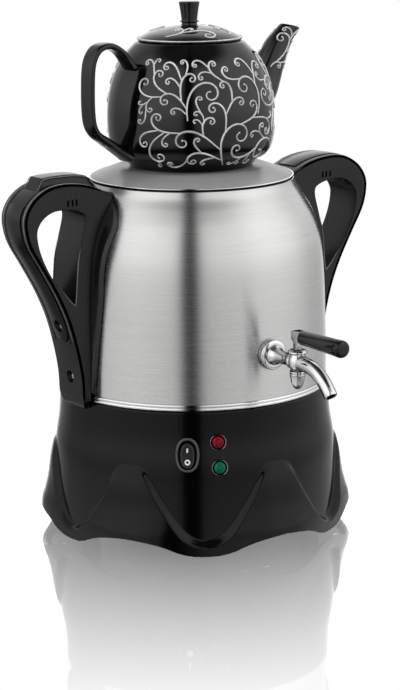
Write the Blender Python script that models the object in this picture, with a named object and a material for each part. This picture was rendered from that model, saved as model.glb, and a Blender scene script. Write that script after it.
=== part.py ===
# Electric tea urn with a teapot on its lid: steel urn, scalloped black base, two loop handles and a plug tap
import bpy
import bmesh
from math import acos, atan2, cos, pi, radians, sin, sqrt
from mathutils import Matrix, Vector

for old in list(bpy.data.objects):
    bpy.data.objects.remove(old, do_unlink=True)

# Fits, in metres
clearance = 0.0003
running_gap = 0.0003
overrun = 0.004
merge_distance = 0.000005

# Steps round a full turn
round_steps = 36
petal_steps = 48
pot_steps = 24
fine_steps = 14
small_steps = 12
tiny_steps = 8

# Base housing: six petals with feet between them, the tap over the middle of a petal
base_height = 0.119
base_top_radius = 0.112
base_foot_radius = 0.119
base_wall = 0.0025
base_edge = 0.001
petal_count = 6
petal_reach = 0.130
foot_reach = 0.124
ridge_peak_height = 0.075
ridge_foot_height = 0.016
ridge_step = 0.006
ridge_shares = ((0.0, 1.0), (0.17, 0.98), (0.27, 0.87), (0.4, 0.64), (0.53, 0.43), (0.64, 0.26), (0.75, 0.12),
                (0.87, 0.03), (1.0, 0.0))
arch_height = 0.017
tip_height = 0.0035
edge_shares = ((0.0, 1.0), (0.2, 0.92), (0.33, 0.8), (0.47, 0.61), (0.57, 0.42), (0.67, 0.22), (0.77, 0.09),
               (0.87, 0.02), (1.0, 0.0))
core_flare_shares = ((0.0, 1.0), (0.21, 0.93), (0.42, 0.79), (0.56, 0.7), (0.92, 0.0), (1.0, 0.0))
flare_top_share = 0.92
flare_foot_share = 0.56
petal_flare_shares = ((0.0, 0.99), (0.07, 1.0), (0.14, 0.99), (0.25, 0.81), (0.34, 0.67), (0.49, 0.52),
                      (0.63, 0.31), (1.0, 0.0))
petal_row_shares = (0.0, 0.05, 0.1, 0.4, 0.75, 1.0)
inner_petal_row_shares = (0.0, 0.1, 0.65, 1.0)
flange_inner_radius = 0.098
boss_radius = 0.0045
boss_circle = 0.1005
boss_angles = (0.0, 120.0, 240.0)

# Bottom cover, its legs and the rubber feet
cover_height = 0.018
cover_thickness = 0.0025
cover_rim_gap = 0.0040
leg_radius = 0.008
leg_circle = 0.104
leg_angles = (30.0, 90.0, 150.0, 210.0, 270.0, 330.0)
foot_pad_radius = 0.0075
foot_pad_height = 0.004
foot_peg_radius = 0.0025
foot_peg_length = 0.006
screw_head_radius = 0.0034
screw_head_height = 0.0019
screw_shank_radius = 0.0016
screw_length = 0.012

# Urn
urn_radius = 0.110
urn_wall = 0.001
urn_rise = 0.1705
urn_floor_rise = 0.0085
urn_lip_height = base_height + urn_rise
urn_floor_height = base_height + urn_floor_rise
mouth_radius = 0.078
urn_profile_shares = ((0.0, 1.0), (0.25, 0.997), (0.5, 0.988), (0.66, 0.972), (0.76, 0.941), (0.84, 0.897),
                      (0.91, 0.836), (0.965, 0.78), (1.0, 0.76))

# Trim ring at the foot of the urn
ring_radius = 0.1115
ring_height = 0.0052
ring_groove = 0.0004

# Urn lid
lid_rim_height = 0.0015
lid_dome_rise = 0.0102
lid_seat_height = urn_lip_height + lid_dome_rise
lid_seat_radius = 0.0600
lid_sheet = 0.001
lid_skirt_depth = 0.006
steam_hole_radius = 0.024
lid_rise_shares = ((1.0, 0.0), (0.94, 0.14), (0.42, 0.6), (0.0, 1.0))

# Heater and controls under the urn
plate_radius = 0.086
plate_thickness = 0.004
element_radius = 0.0035
element_ring_radius = 0.062
element_gap_angle = 40.0
element_leg = 0.014
thermostat_radius = 0.009
thermostat_height = 0.006
thermostat_circle = 0.032
thermostat_angles = (90.0, 210.0, 330.0)
rod_radius = 0.003
rod_collar_radius = 0.008
rod_collar_height = 0.002
nut_width = 0.012
nut_height = 0.005
block_length = 0.034
block_width = 0.014
block_height = 0.011
block_place = 0.052
block_hole_radius = 0.002
block_pitch = 0.011

# Switch on the panel, turned to face the panel's own direction
switch_angle = -36.8
switch_drop = 0.0342
switch_height = base_height - switch_drop
bezel_width = 0.0186
bezel_height = 0.027
bezel_stand = 0.0018
tub_width = 0.0152
tub_height = 0.0245
tub_depth = 0.014
window_width = 0.0116
rocker_width = 0.011
rocker_radius = 0.0104
rocker_front = 0.0052
rocker_dip = 0.0012
rocker_back = 0.0045
rocker_pin_radius = 0.001
rocker_pin_length = 0.001
rocker_pivot_depth = 0.0022
rocker_tilt = 8.0
rocker_slice_shares = (-0.96, -0.8, -0.5, 0.0, 0.5, 0.8, 0.96)

# Lamps on the panel
lamp_radius = 0.0063
lamp_rise = 0.0032
lamp_lip = 0.0012
lamp_stem_radius = 0.0045
lamp_stem_length = 0.014
lamp_nut_radius = 0.0068
lamp_nut_height = 0.003
red_lamp_angle = -24.6
red_lamp_drop = 0.0245
red_lamp_height = base_height - red_lamp_drop
green_lamp_angle = -24.2
green_lamp_drop = 0.0447
green_lamp_height = base_height - green_lamp_drop

# Mains inlet on the side away from the panel
inlet_angle = 150.0
inlet_height = 0.060
inlet_width = 0.031
inlet_tall = 0.0245
inlet_stand = 0.0020
inlet_recess = 0.0014
inlet_body_width = 0.0275
inlet_body_tall = 0.0195
inlet_body_depth = 0.021
inlet_mouth_width = 0.0245
inlet_mouth_tall = 0.0165
inlet_mouth_depth = 0.017
inlet_pin_width = 0.002
inlet_pin_tall = 0.004
inlet_pin_length = 0.015
inlet_pin_tail = 0.009
inlet_pin_pitch = 0.007
inlet_pin_drop = 0.0020

# Handles, one on each side
handle_thickness = 0.037
handle_reach = 0.1675
handle_lift = 0.1783
handle_drop = 0.0055
handle_top = base_height + handle_lift
handle_foot = base_height - handle_drop
handle_round = 0.002
handle_outline_shares = ((-0.52, 0.911), (-0.383, 0.936), (-0.035, 0.982), (0.313, 1.0), (0.609, 0.99),
                         (0.842, 0.948), (0.974, 0.89), (1.0, 0.83), (0.93, 0.743), (0.73, 0.634), (0.522, 0.517),
                         (0.357, 0.397), (0.243, 0.267), (0.174, 0.15), (0.155, 0.05), (0.115, 0.01), (0.06, 0.0))
handle_hole_shares = ((0.052, 0.841), (0.157, 0.876), (0.348, 0.888), (0.539, 0.887), (0.687, 0.865),
                      (0.783, 0.83), (0.809, 0.786), (0.757, 0.71), (0.626, 0.62), (0.47, 0.552),
                      (0.278, 0.478), (0.231, 0.492), (0.191, 0.634), (0.139, 0.724))
handle_inner_reach = 0.060
saddle_thickness = 0.0032
saddle_edge = 0.0012
saddle_lift = 0.0065
saddle_drop = 0.0035
saddle_foot = base_height + saddle_lift
saddle_top = urn_lip_height - saddle_drop
saddle_width_shares = ((0.0, 0.59), (0.055, 0.62), (0.185, 0.69), (0.29, 0.76), (0.39, 0.82), (0.5, 0.865),
                       (0.6, 0.86), (0.72, 0.9), (0.8, 0.97), (0.834, 1.0), (0.86, 0.97), (0.893, 0.9),
                       (0.93, 0.78), (0.957, 0.64), (0.98, 0.5), (1.0, 0.35))
saddle_half_width = 0.037
saddle_columns = 8

# Cover strip let into the outer side of each handle
strip_width = 0.022
strip_sink = 0.0014
strip_proud = 0.0008
strip_start_share = 0.07
strip_left_start_share = 0.335
strip_end_share = 0.79

# Screws in the handles
handle_upper_screw_lift = 0.062
handle_lower_screw_lift = 0.0195
handle_screw_heights = (base_height + handle_upper_screw_lift, base_height + handle_lower_screw_lift)
handle_screw_head_radius = 0.0030
handle_screw_head_height = 0.0018
handle_screw_shank_radius = 0.0017
handle_screw_length = 0.011
handle_recess_radius = 0.0045
handle_recess_depth = 0.0024

# Push button in the top of the left handle
button_start = 0.0965
button_end = 0.1495
button_half_width = 0.0105
button_edge = 0.0023
button_shoulder_share = 0.62
button_sink = 0.0103
button_stand = 0.006
button_foot = handle_top - button_sink
button_top = handle_top + button_stand
button_travel = 0.0025
button_rise_shares = ((0.0, 0.2), (0.08, 0.52), (0.17, 0.84), (0.35, 0.97), (0.55, 1.0), (0.75, 0.98),
                      (0.89, 0.85), (0.96, 0.65), (1.0, 0.45))

# Tap, on the front of the urn
tap_lift = 0.0415
tap_height = base_height + tap_lift
tap_axis_reach = 0.145
tap_inner_reach = 0.0985
tap_gasket_radius = 0.0095
tap_gasket_thickness = 0.0015
tap_flange_radius = 0.012
tap_flange_thickness = 0.0028
tap_flange_round = 0.0008
tap_shank_radius = 0.005
tap_collar_radius = 0.0078
tap_neck_radius = 0.0047
tap_cone_length = 0.006
tap_neck_length = 0.014
tap_ball_reach = 0.139
tap_ball_radius = 0.0063
tap_barrel_radius = 0.0068
tap_barrel_rise = 0.0065
tap_barrel_drop = 0.0065
tap_nut_radius = 0.0095
tap_nut_thickness = 0.0045
plug_top_radius = 0.0042
plug_bottom_radius = 0.0035
plug_stem_radius = 0.0021
plug_port_radius = 0.0019
waterway_radius = 0.0029
bonnet_radius = 0.0077
bonnet_thickness = 0.0034
cap_radius = 0.0062
cap_collar = 0.0016
cap_length = 0.0130
cap_tip_radius = 0.0012
spout_root_radius = 0.0060
spout_mouth_radius = 0.0053
spout_wall = 0.0013
spout_reach = 0.0428
spout_drop = 0.0192
spout_path_shares = ((0.0, 0.0), (0.16, 0.0), (0.32, 0.03), (0.48, 0.1), (0.63, 0.24), (0.78, 0.48), (0.9, 0.74),
                     (1.0, 1.0))
lever_lift = 0.0205
lever_height = tap_height + lever_lift
lever_width = 0.009
lever_back = 0.012
lever_front = 0.008
lever_rise = 0.0045
lever_drop = 0.0070
lever_round = 0.0009
lever_side_shares = ((-1.0, 0.75), (-0.86, -0.5), (-0.45, -1.0), (0.45, -1.0), (1.0, -0.62), (1.0, 1.0),
                     (0.5, 0.9), (-0.1, 0.2), (-0.55, 0.35))
tang_radius = 0.003
tang_length = 0.014
grip_root_radius = 0.0056
grip_end_radius = 0.0068
grip_length = 0.050
grip_round = 0.0012

# Teapot
pot_foot_height = lid_seat_height + clearance
pot_height = 0.1005
pot_radius = 0.068
pot_wall = 0.004
pot_foot_radius = 0.050
pot_foot_inner_radius = 0.044
pot_foot_rise = 0.0016
pot_mouth_radius = 0.0385
pot_profile_shares = ((0.0, 0.735), (0.045, 0.79), (0.1, 0.9), (0.16, 0.96), (0.25, 0.99), (0.38, 1.0),
                      (0.52, 0.988), (0.66, 0.948), (0.79, 0.878), (0.9, 0.778), (1.0, 0.635))
pot_handle_width = 0.017
pot_handle_thickness = 0.0054
pot_handle_root = 0.0085
pot_handle_reach = 0.097
pot_handle_path_shares = ((0.6, 0.82), (0.68, 0.93), (0.77, 0.99), (0.845, 1.0), (0.915, 0.975), (0.965, 0.91),
                          (0.99, 0.82), (1.0, 0.66), (1.0, 0.5), (0.985, 0.385), (0.94, 0.31), (0.86, 0.255),
                          (0.76, 0.19), (0.64, 0.11))
pot_spout_reach = 0.1005
pot_spout_top = 0.1065
pot_spout_root_radius = 0.020
pot_spout_path_shares = ((0.5, 0.4), (0.66, 0.53), (0.74, 0.63), (0.81, 0.76), (0.88, 0.87), (0.95, 0.95),
                         (1.0, 1.0))
pot_spout_radius_shares = (1.0, 0.86, 0.7, 0.58, 0.49, 0.43, 0.42)
pot_spout_wall_share = 0.28
pot_lid_radius = 0.0424
pot_lid_rim = 0.0018
pot_lid_rise = 0.0099
pot_lid_skirt = 0.008
pot_lid_wall = 0.003
pot_lid_profile_shares = ((1.0, 0.0), (0.86, 0.33), (0.6, 0.66), (0.3, 0.92), (0.15, 1.0))
knob_radius = 0.0084
knob_waist_radius = 0.0062
knob_ring_radius = 0.0074
knob_height = 0.0191
knob_shares = ((0.0, 0.0), (0.12, 0.0), (0.13, 1.0), (0.2, 1.0), (0.22, 0.35))


def material(name, colour, roughness, metallic=0.0):
    """A plain Principled material."""
    made = bpy.data.materials.new(name)
    made.use_nodes = True
    shader = made.node_tree.nodes["Principled BSDF"]
    shader.inputs["Base Color"].default_value = (*colour, 1.0)
    shader.inputs["Roughness"].default_value = roughness
    shader.inputs["Metallic"].default_value = metallic
    made.diffuse_color = (*colour, 1.0)
    return made


brushed_steel = material("brushed steel", (0.62, 0.62, 0.61), 0.32, 1.0)
polished_chrome = material("polished chrome", (0.78, 0.78, 0.79), 0.08, 1.0)
gloss_black = material("gloss black plastic", (0.012, 0.012, 0.013), 0.12)
satin_black = material("satin black plastic", (0.018, 0.018, 0.019), 0.30)
black_ceramic = material("black glazed ceramic", (0.014, 0.014, 0.015), 0.06)
black_rubber = material("black rubber", (0.02, 0.02, 0.02), 0.75)
clear_silicone = material("white silicone", (0.75, 0.74, 0.70), 0.45)
red_plastic = material("red lens plastic", (0.45, 0.01, 0.01), 0.15)
green_plastic = material("green lens plastic", (0.01, 0.28, 0.10), 0.15)
cast_aluminium = material("cast aluminium", (0.55, 0.55, 0.56), 0.5, 1.0)
zinc_steel = material("zinc plated steel", (0.60, 0.60, 0.58), 0.35, 1.0)
brass = material("brass", (0.66, 0.48, 0.20), 0.35, 1.0)


def mix(low, high, share):
    return low + (high - low) * share


def read_table(rows, place):
    """The value of a table of pairs at a place, in straight steps between the pairs."""
    if place <= rows[0][0]:
        return rows[0][1]
    for (start, low), (end, high) in zip(rows, rows[1:]):
        if place <= end:
            return mix(low, high, (place - start) / (end - start))
    return rows[-1][1]


def turned(place, angle):
    """A direction in the floor plane, from the tap's side towards +X."""
    return Vector((sin(radians(angle)) * place, -cos(radians(angle)) * place, 0.0))


def finish(name, shape, look, smooth_angle=35.0):
    """Turn a bmesh into an object with its faces outwards."""
    bmesh.ops.remove_doubles(shape, verts=shape.verts, dist=merge_distance)
    bmesh.ops.recalc_face_normals(shape, faces=shape.faces)
    mesh = bpy.data.meshes.new(name)
    shape.to_mesh(mesh)
    shape.free()
    mesh.shade_smooth()
    mesh.set_sharp_from_angle(angle=radians(smooth_angle))
    made = bpy.data.objects.new(name, mesh)
    bpy.context.scene.collection.objects.link(made)
    if look is not None:
        mesh.materials.append(look)
    return made


def outline_edges(shape, points, profile):
    """Join the points of a closed outline, but not along the axis."""
    return [shape.edges.new((points[index - 1], points[index])) for index in range(len(points))
            if profile[index - 1][0] > 0 or profile[index][0] > 0]


def lathe(name, profile, look, steps=small_steps, places=((0.0, 0.0, 0.0),)):
    """Turn a closed outline of (radius, height) points about Z, once at each place."""
    shape = bmesh.new()
    for place in places:
        points = [shape.verts.new((radius, 0.0, height)) for radius, height in profile]
        edges = outline_edges(shape, points, profile)
        made = bmesh.ops.spin(shape, geom=points + edges, axis=(0, 0, 1), cent=(0, 0, 0), angle=2 * pi,
                              steps=steps, use_merge=True)
        turned_points = {vert for vert in shape.verts if not vert.tag}
        bmesh.ops.translate(shape, verts=list(turned_points), vec=place)
        for vert in turned_points:
            vert.tag = True
    return finish(name, shape, look)


def loft(name, rings, look, closed=False, smooth_angle=35.0):
    """Skin a list of rings that all have the same number of points, and cap the two ends."""
    shape = bmesh.new()
    rows = [[shape.verts.new(point) for point in ring] for ring in rings]
    pairs = list(zip(rows, rows[1:]))
    if closed:
        pairs.append((rows[-1], rows[0]))
    for low, high in pairs:
        count = len(low)
        for index in range(count):
            after = (index + 1) % count
            shape.faces.new((low[index], low[after], high[after], high[index]))
    if not closed:
        shape.faces.new(rows[0])
        shape.faces.new(rows[-1])
    return finish(name, shape, look, smooth_angle)


def prism(name, outline, axis, low, high, look, holes=(), smooth_angle=35.0):
    """Push a flat outline, given in the other two axes, along one axis; holes go right through."""
    shape = bmesh.new()

    def corner(first, second):
        return {"x": (low, first, second), "y": (first, low, second), "z": (first, second, low)}[axis]

    edges = []
    for loop in (outline, *holes):
        points = [shape.verts.new(corner(*point)) for point in loop]
        edges += [shape.edges.new((points[index - 1], points[index])) for index in range(len(points))]
    bmesh.ops.triangle_fill(shape, edges=edges, use_beauty=True)
    pushed = bmesh.ops.extrude_face_region(shape, geom=list(shape.faces))
    moved = [item for item in pushed["geom"] if isinstance(item, bmesh.types.BMVert)]
    step = {"x": (high - low, 0, 0), "y": (0, high - low, 0), "z": (0, 0, high - low)}[axis]
    bmesh.ops.translate(shape, verts=moved, vec=step)
    return finish(name, shape, look, smooth_angle)


def smooth_curve(points, steps, closed=False):
    """Points on a smooth curve through the given ones."""
    count = len(points)
    made = []
    for index in range(count if closed else count - 1):
        if closed:
            around = [Vector(points[(index + offset) % count]) for offset in (-1, 0, 1, 2)]
        else:
            around = [Vector(points[min(max(index + offset, 0), count - 1)]) for offset in (-1, 0, 1, 2)]
        before, start, end, after = around
        for step in range(steps):
            share = step / steps
            made.append(0.5 * (2 * start + (end - before) * share
                               + (2 * before - 5 * start + 4 * end - after) * share ** 2
                               + (3 * start - before - 3 * end + after) * share ** 3))
    if not closed:
        made.append(Vector(points[-1]))
    return made


def stadium(width, height, steps=6):
    """An upright slot outline with round ends."""
    radius = width / 2
    middle = height / 2 - radius
    outline = []
    for end in (1, -1):
        for step in range(steps + 1):
            angle = pi * step / steps
            outline.append((end * radius * cos(angle), end * (middle + radius * sin(angle))))
    return outline


def rectangle(width, height, low_first=0.0, low_second=0.0):
    """A rectangle about a middle."""
    return [(low_first + first * width / 2, low_second + second * height / 2)
            for first, second in ((-1, -1), (1, -1), (1, 1), (-1, 1))]


def circle(radius, steps):
    return [(radius * cos(2 * pi * step / steps), radius * sin(2 * pi * step / steps)) for step in range(steps)]


def bevelled(target, width, segments=2, angle=60.0):
    """Round the sharp edges of a piece."""
    rounding = target.modifiers.new("rounded edges", "BEVEL")
    rounding.width = width
    rounding.segments = segments
    rounding.limit_method = "ANGLE"
    rounding.angle_limit = radians(angle)


def combine(target, tool, operation):
    """Cut a tool out of a piece or join it on; the tool itself is only a guide."""
    step = target.modifiers.new(tool.name, "BOOLEAN")
    step.operation = operation
    step.object = tool
    step.solver = "EXACT"
    weld = target.modifiers.new(tool.name + " weld", "WELD")
    weld.merge_threshold = merge_distance
    tool.hide_render = True
    tool.display_type = "WIRE"


def empty(name, place):
    made = bpy.data.objects.new(name, None)
    made.location = place
    bpy.context.scene.collection.objects.link(made)
    return made


def carry(parent, *children):
    """Hang pieces on a parent and leave them where they stand."""
    bpy.context.view_layer.update()
    for child in children:
        child.parent = parent
        child.matrix_parent_inverse = parent.matrix_world.inverted()


# Base housing

def petal_place(offset):
    """Where an angle in radians lies in its petal: 0 in the middle, 1 at the foot between two petals."""
    return acos(cos(petal_count * offset)) / pi


def ridge_height(offset):
    return mix(ridge_foot_height, ridge_peak_height, read_table(ridge_shares, petal_place(offset)))


def edge_height(offset):
    return mix(tip_height, arch_height, read_table(edge_shares, petal_place(offset)))


def skirt_radius(offset, height):
    """Outer radius of the base: the plain core, swelling to a petal below the ridge line."""
    level = height / base_height
    core = mix(base_top_radius, base_foot_radius, read_table(core_flare_shares, level))
    reach = mix(foot_reach, petal_reach, read_table(ridge_shares, petal_place(offset)))
    petal = mix(base_top_radius, reach, read_table(petal_flare_shares, level))
    rise = min(max((ridge_height(offset) - height) / ridge_step, 0.0), 1.0)
    return mix(core, petal, rise * rise * (3 - 2 * rise))


def core_heights(offset):
    """Rows of the core above the ridge line: where the flare begins, where it ends, and one between."""
    ridge = ridge_height(offset)
    flare_foot = max(flare_foot_share * base_height, ridge + ridge_step / 2)
    return [flare_top_share * base_height, flare_foot, mix(flare_foot, ridge, 0.5)]


def inner_rows(offset):
    """Height and radius of the skirt's inner wall at each of its rows, from the edge up."""
    top = base_height - base_wall
    ridge = ridge_height(offset)
    heights = [mix(ridge, edge_height(offset), share) for share in reversed(inner_petal_row_shares)]
    heights += reversed(core_heights(offset)[:2])
    rows = [(height, skirt_radius(offset, height) - base_wall) for height in heights]
    return rows + [(top, base_top_radius - base_wall)]


def make_base_housing():
    floor_of_flange = base_height - base_wall
    rings = []
    for step in range(petal_steps):
        offset = 2 * pi * step / petal_steps
        ridge = ridge_height(offset)
        edge = edge_height(offset)
        section = [(flange_inner_radius, base_height), (base_top_radius - base_edge, base_height)]
        top = base_height - base_edge
        for height in (top, *core_heights(offset)):
            section.append((skirt_radius(offset, height), height))
        for share in petal_row_shares:
            height = mix(ridge, edge, share)
            section.append((skirt_radius(offset, height), height))
        section += [(radius, height) for height, radius in inner_rows(offset)]
        section.append((flange_inner_radius, floor_of_flange))
        rings.append([(sin(offset) * radius, -cos(offset) * radius, height) for radius, height in section])
    housing = loft("base_housing", rings, gloss_black, closed=True, smooth_angle=40.0)
    boss_foot = cover_height + cover_thickness + clearance
    bosses = lathe("housing_bosses", [(0, boss_foot), (boss_radius, boss_foot), (boss_radius, base_height - base_wall / 2),
                   (0, base_height - base_wall / 2)], None, places=[turned(boss_circle, angle) for angle in boss_angles])
    combine(housing, bosses, "UNION")
    bores = lathe("boss_bores", bore_profile(cover_height, screw_length + cover_thickness,
                  screw_shank_radius + clearance), None, tiny_steps,
                  places=[turned(boss_circle, angle) for angle in boss_angles])
    combine(housing, bores, "DIFFERENCE")
    return housing


def bore_profile(low, length, radius):
    return [(0, low), (radius, low), (radius, low + length), (0, low + length)]


def make_bottom_cover():
    """A plate inside the skirt, with a hollow leg for each rubber foot."""
    underside = cover_height
    rings = []
    for height in (underside, underside + cover_thickness):
        ring = []
        for step in range(petal_steps):
            offset = 2 * pi * step / petal_steps
            rows = inner_rows(offset)
            radius = min(read_table(rows, underside), read_table(rows, height)) - cover_rim_gap
            ring.append((sin(offset) * radius, -cos(offset) * radius, height))
        rings.append(ring)
    cover = loft("bottom_cover", rings, satin_black)
    places = [turned(leg_circle, angle) for angle in leg_angles]
    leg_foot = foot_pad_height + clearance
    legs = lathe("cover_legs", [(0, leg_foot), (leg_radius, leg_foot), (leg_radius, underside + cover_thickness / 2),
                 (0, underside + cover_thickness / 2)], None, tiny_steps, places)
    combine(cover, legs, "UNION")
    sockets = lathe("leg_sockets", bore_profile(leg_foot - overrun, foot_peg_length + overrun + clearance,
                    foot_peg_radius + clearance), None, tiny_steps, places=places)
    combine(cover, sockets, "DIFFERENCE")
    holes = lathe("cover_screw_holes", bore_profile(underside - overrun, cover_thickness + 2 * overrun,
                  screw_shank_radius + clearance), None, tiny_steps,
                  places=[turned(boss_circle, angle) for angle in boss_angles])
    combine(cover, holes, "DIFFERENCE")
    middle = lathe("cover_rod_hole", bore_profile(underside - overrun, cover_thickness + 2 * overrun,
                   rod_radius + clearance), None)
    combine(cover, middle, "DIFFERENCE")
    return cover


def make_feet_and_screws():
    pad = [(0, 0), (foot_pad_radius, 0), (foot_pad_radius, foot_pad_height), (foot_peg_radius, foot_pad_height),
           (foot_peg_radius, foot_pad_height + foot_peg_length), (0, foot_pad_height + foot_peg_length)]
    for number, angle in enumerate(leg_angles, 1):
        lathe("rubber_foot_%d" % number, pad, black_rubber, tiny_steps).location = turned(leg_circle, angle)
    top = cover_height - clearance
    screw = [(0, top - screw_head_height), (screw_head_radius * 0.7, top - screw_head_height),
             (screw_head_radius, top - screw_head_height / 2), (screw_head_radius, top), (screw_shank_radius, top),
             (screw_shank_radius, top + screw_length), (0, top + screw_length)]
    for number, angle in enumerate(boss_angles, 1):
        lathe("cover_screw_%d" % number, screw, zinc_steel, tiny_steps).location = turned(boss_circle, angle)


# Urn, its ring and its lid

urn_foot_height = base_height + clearance


def urn_outer_radius(height):
    return urn_radius * read_table(urn_profile_shares, (height - urn_foot_height) / (urn_lip_height - urn_foot_height))


def profile_heights():
    """Heights at which the urn's side changes slope."""
    return [mix(urn_foot_height, urn_lip_height, level) for level, share in urn_profile_shares]


def make_urn():
    rise = urn_lip_height - urn_foot_height
    outer = [(share * urn_radius, urn_foot_height + level * rise) for level, share in urn_profile_shares]
    inner = [(radius - urn_wall, height) for radius, height in outer[1:-1]]
    profile = outer + [(mouth_radius, urn_lip_height), (mouth_radius, urn_lip_height - urn_wall),
                       (outer[-1][0] - urn_wall, urn_lip_height - urn_wall)]
    profile += list(reversed(inner))
    profile += [(urn_radius - urn_wall, urn_floor_height), (0, urn_floor_height),
                (0, urn_floor_height - urn_wall), (urn_radius - urn_wall, urn_floor_height - urn_wall),
                (urn_radius - urn_wall, urn_foot_height)]
    shell = turn_about_axis("urn_shell", profile, brushed_steel)
    hole = lathe("tap_hole", bore_profile(tap_inner_reach, urn_radius - tap_inner_reach + overrun,
                 tap_shank_radius + clearance), None)
    hole.location = (0, 0, tap_height)
    hole.rotation_euler = (pi / 2, 0, 0)
    combine(shell, hole, "DIFFERENCE")
    return shell


def turn_about_axis(name, profile, look, steps=round_steps):
    """Turn a section that touches the axis twice, or not at all, about the urn's own axis."""
    shape = bmesh.new()
    points = [shape.verts.new((0.0, -radius, height)) for radius, height in profile]
    edges = outline_edges(shape, points, profile)
    bmesh.ops.spin(shape, geom=points + edges, axis=(0, 0, 1), cent=(0, 0, 0), angle=2 * pi, steps=steps,
                   use_merge=True)
    return finish(name, shape, look)


def make_trim_ring():
    foot = base_height + clearance
    inner = urn_radius + clearance
    round_off = ring_height * 0.12
    middle = foot + ring_height / 2
    turn_about_axis("trim_ring", [(inner, foot), (ring_radius, foot), (ring_radius, middle - round_off),
                    (ring_radius - ring_groove, middle), (ring_radius, middle + round_off),
                    (ring_radius, foot + ring_height - round_off), (ring_radius - round_off, foot + ring_height),
                    (inner, foot + ring_height)], polished_chrome)


def make_urn_lid():
    rim_radius = urn_radius * urn_profile_shares[-1][1]
    underside = urn_lip_height + clearance
    rim_top = underside + lid_rim_height
    skirt_radius_outer = mouth_radius - clearance - running_gap
    dome = [(mix(lid_seat_radius, rim_radius, place), mix(rim_top, lid_seat_height, level))
            for place, level in lid_rise_shares]
    under_dome = [(radius, height - lid_sheet) for radius, height in reversed(dome)
                  if radius < skirt_radius_outer - lid_sheet]
    corner_height = underside + lid_sheet
    profile = [(rim_radius, underside)] + dome + [(steam_hole_radius, lid_seat_height),
               (steam_hole_radius, lid_seat_height - lid_sheet)] + under_dome
    profile += [(skirt_radius_outer - lid_sheet, corner_height), (skirt_radius_outer - lid_sheet,
                underside - lid_skirt_depth), (skirt_radius_outer, underside - lid_skirt_depth),
                (skirt_radius_outer, underside)]
    return turn_about_axis("urn_lid", profile, brushed_steel)


# Heater, thermostats and the rod that clamps the urn to the base

plate_top = urn_floor_height - urn_wall - clearance
plate_bottom = plate_top - plate_thickness


def make_heater():
    turn_about_axis("heat_plate", [(0, plate_bottom), (plate_radius, plate_bottom), (plate_radius, plate_top),
                    (0, plate_top)], cast_aluminium, pot_steps)
    height = plate_bottom - clearance - element_radius
    start = element_gap_angle / 2
    path = [turned(element_ring_radius, mix(start, 360 - start, step / fine_steps)) + Vector((0, 0, height))
            for step in range(fine_steps + 1)]
    bend = Vector((0, 0, -element_radius))
    path = [path[0] + Vector((0, 0, -element_leg)), path[0] + 2 * bend] + path
    path += [path[-1] + 2 * bend, path[-1] + Vector((0, 0, -element_leg))]
    rings = []
    for index, point in enumerate(path):
        along = (path[min(index + 1, len(path) - 1)] - path[max(index - 1, 0)]).normalized()
        outward = Vector((point.x, point.y, 0)).normalized()
        across = along.cross(outward).normalized()
        rings.append([point + outward * first + across * second for first, second in circle(element_radius, tiny_steps)])
    loft("heating_element", rings, zinc_steel, smooth_angle=60.0)
    top = plate_bottom - clearance
    names = ("thermostat_boil", "thermostat_keep_warm", "thermal_cutout")
    for name, angle in zip(names, thermostat_angles):
        can = lathe(name, [(0, top - thermostat_height), (thermostat_radius * 0.8, top - thermostat_height),
                    (thermostat_radius * 0.8, top - thermostat_height / 2),
                    (thermostat_radius, top - thermostat_height / 2), (thermostat_radius, top), (0, top)],
                    satin_black, small_steps)
        can.location = turned(thermostat_circle, angle)


def make_tie_rod():
    top = plate_bottom - clearance
    nut_top = cover_height - clearance
    lathe("tie_rod", [(0, nut_top - nut_height * 1.4), (rod_radius, nut_top - nut_height * 1.4),
          (rod_radius, top - rod_collar_height), (rod_collar_radius, top - rod_collar_height),
          (rod_collar_radius, top), (0, top)], zinc_steel)
    hexagon = circle(nut_width / sqrt(3), 6)
    prism("tie_nut", hexagon, "z", nut_top - nut_height, nut_top, zinc_steel,
          holes=[circle(rod_radius + clearance, small_steps)])


def make_terminal_block():
    foot = cover_height + cover_thickness + clearance
    block = prism("terminal_block", rectangle(block_length, block_width, 0.0, block_place), "z", foot,
                  foot + block_height, clear_silicone)
    wire_ways = lathe("block_wire_ways", bore_profile(-block_place - block_width, 2 * block_width, block_hole_radius),
                      None, tiny_steps, places=[(-block_pitch, 0, 0), (0, 0, 0), (block_pitch, 0, 0)])
    wire_ways.location = (0, 0, foot + block_height / 2)
    wire_ways.rotation_euler = (pi / 2, 0, 0)
    combine(block, wire_ways, "DIFFERENCE")


# Panel pieces, made facing -Y and then turned to their place on the base

def panel_radius(height):
    return mix(base_top_radius, base_foot_radius, read_table(core_flare_shares, height / base_height))


def put_on_panel(pieces, angle, height):
    """Turn pieces to the panel's direction and lean them back with the wall's slope."""
    lean = atan2((base_foot_radius - base_top_radius) * read_table(core_flare_shares, flare_foot_share),
                 (flare_top_share - flare_foot_share) * base_height)
    wall = panel_radius(height)
    place = (Matrix.Rotation(radians(angle), 4, "Z") @ Matrix.Translation((0, -wall, height))
             @ Matrix.Rotation(-lean, 4, "X") @ Matrix.Translation((0, wall, 0)))
    for piece in pieces:
        piece.matrix_world = place


def face_outwards(piece, reach):
    """Lay a piece turned about Z along -Y, with its height zero at a reach from the axis."""
    piece.data.transform(Matrix.Translation((0, -reach, 0)) @ Matrix.Rotation(pi / 2, 4, "X"))
    return piece


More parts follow.
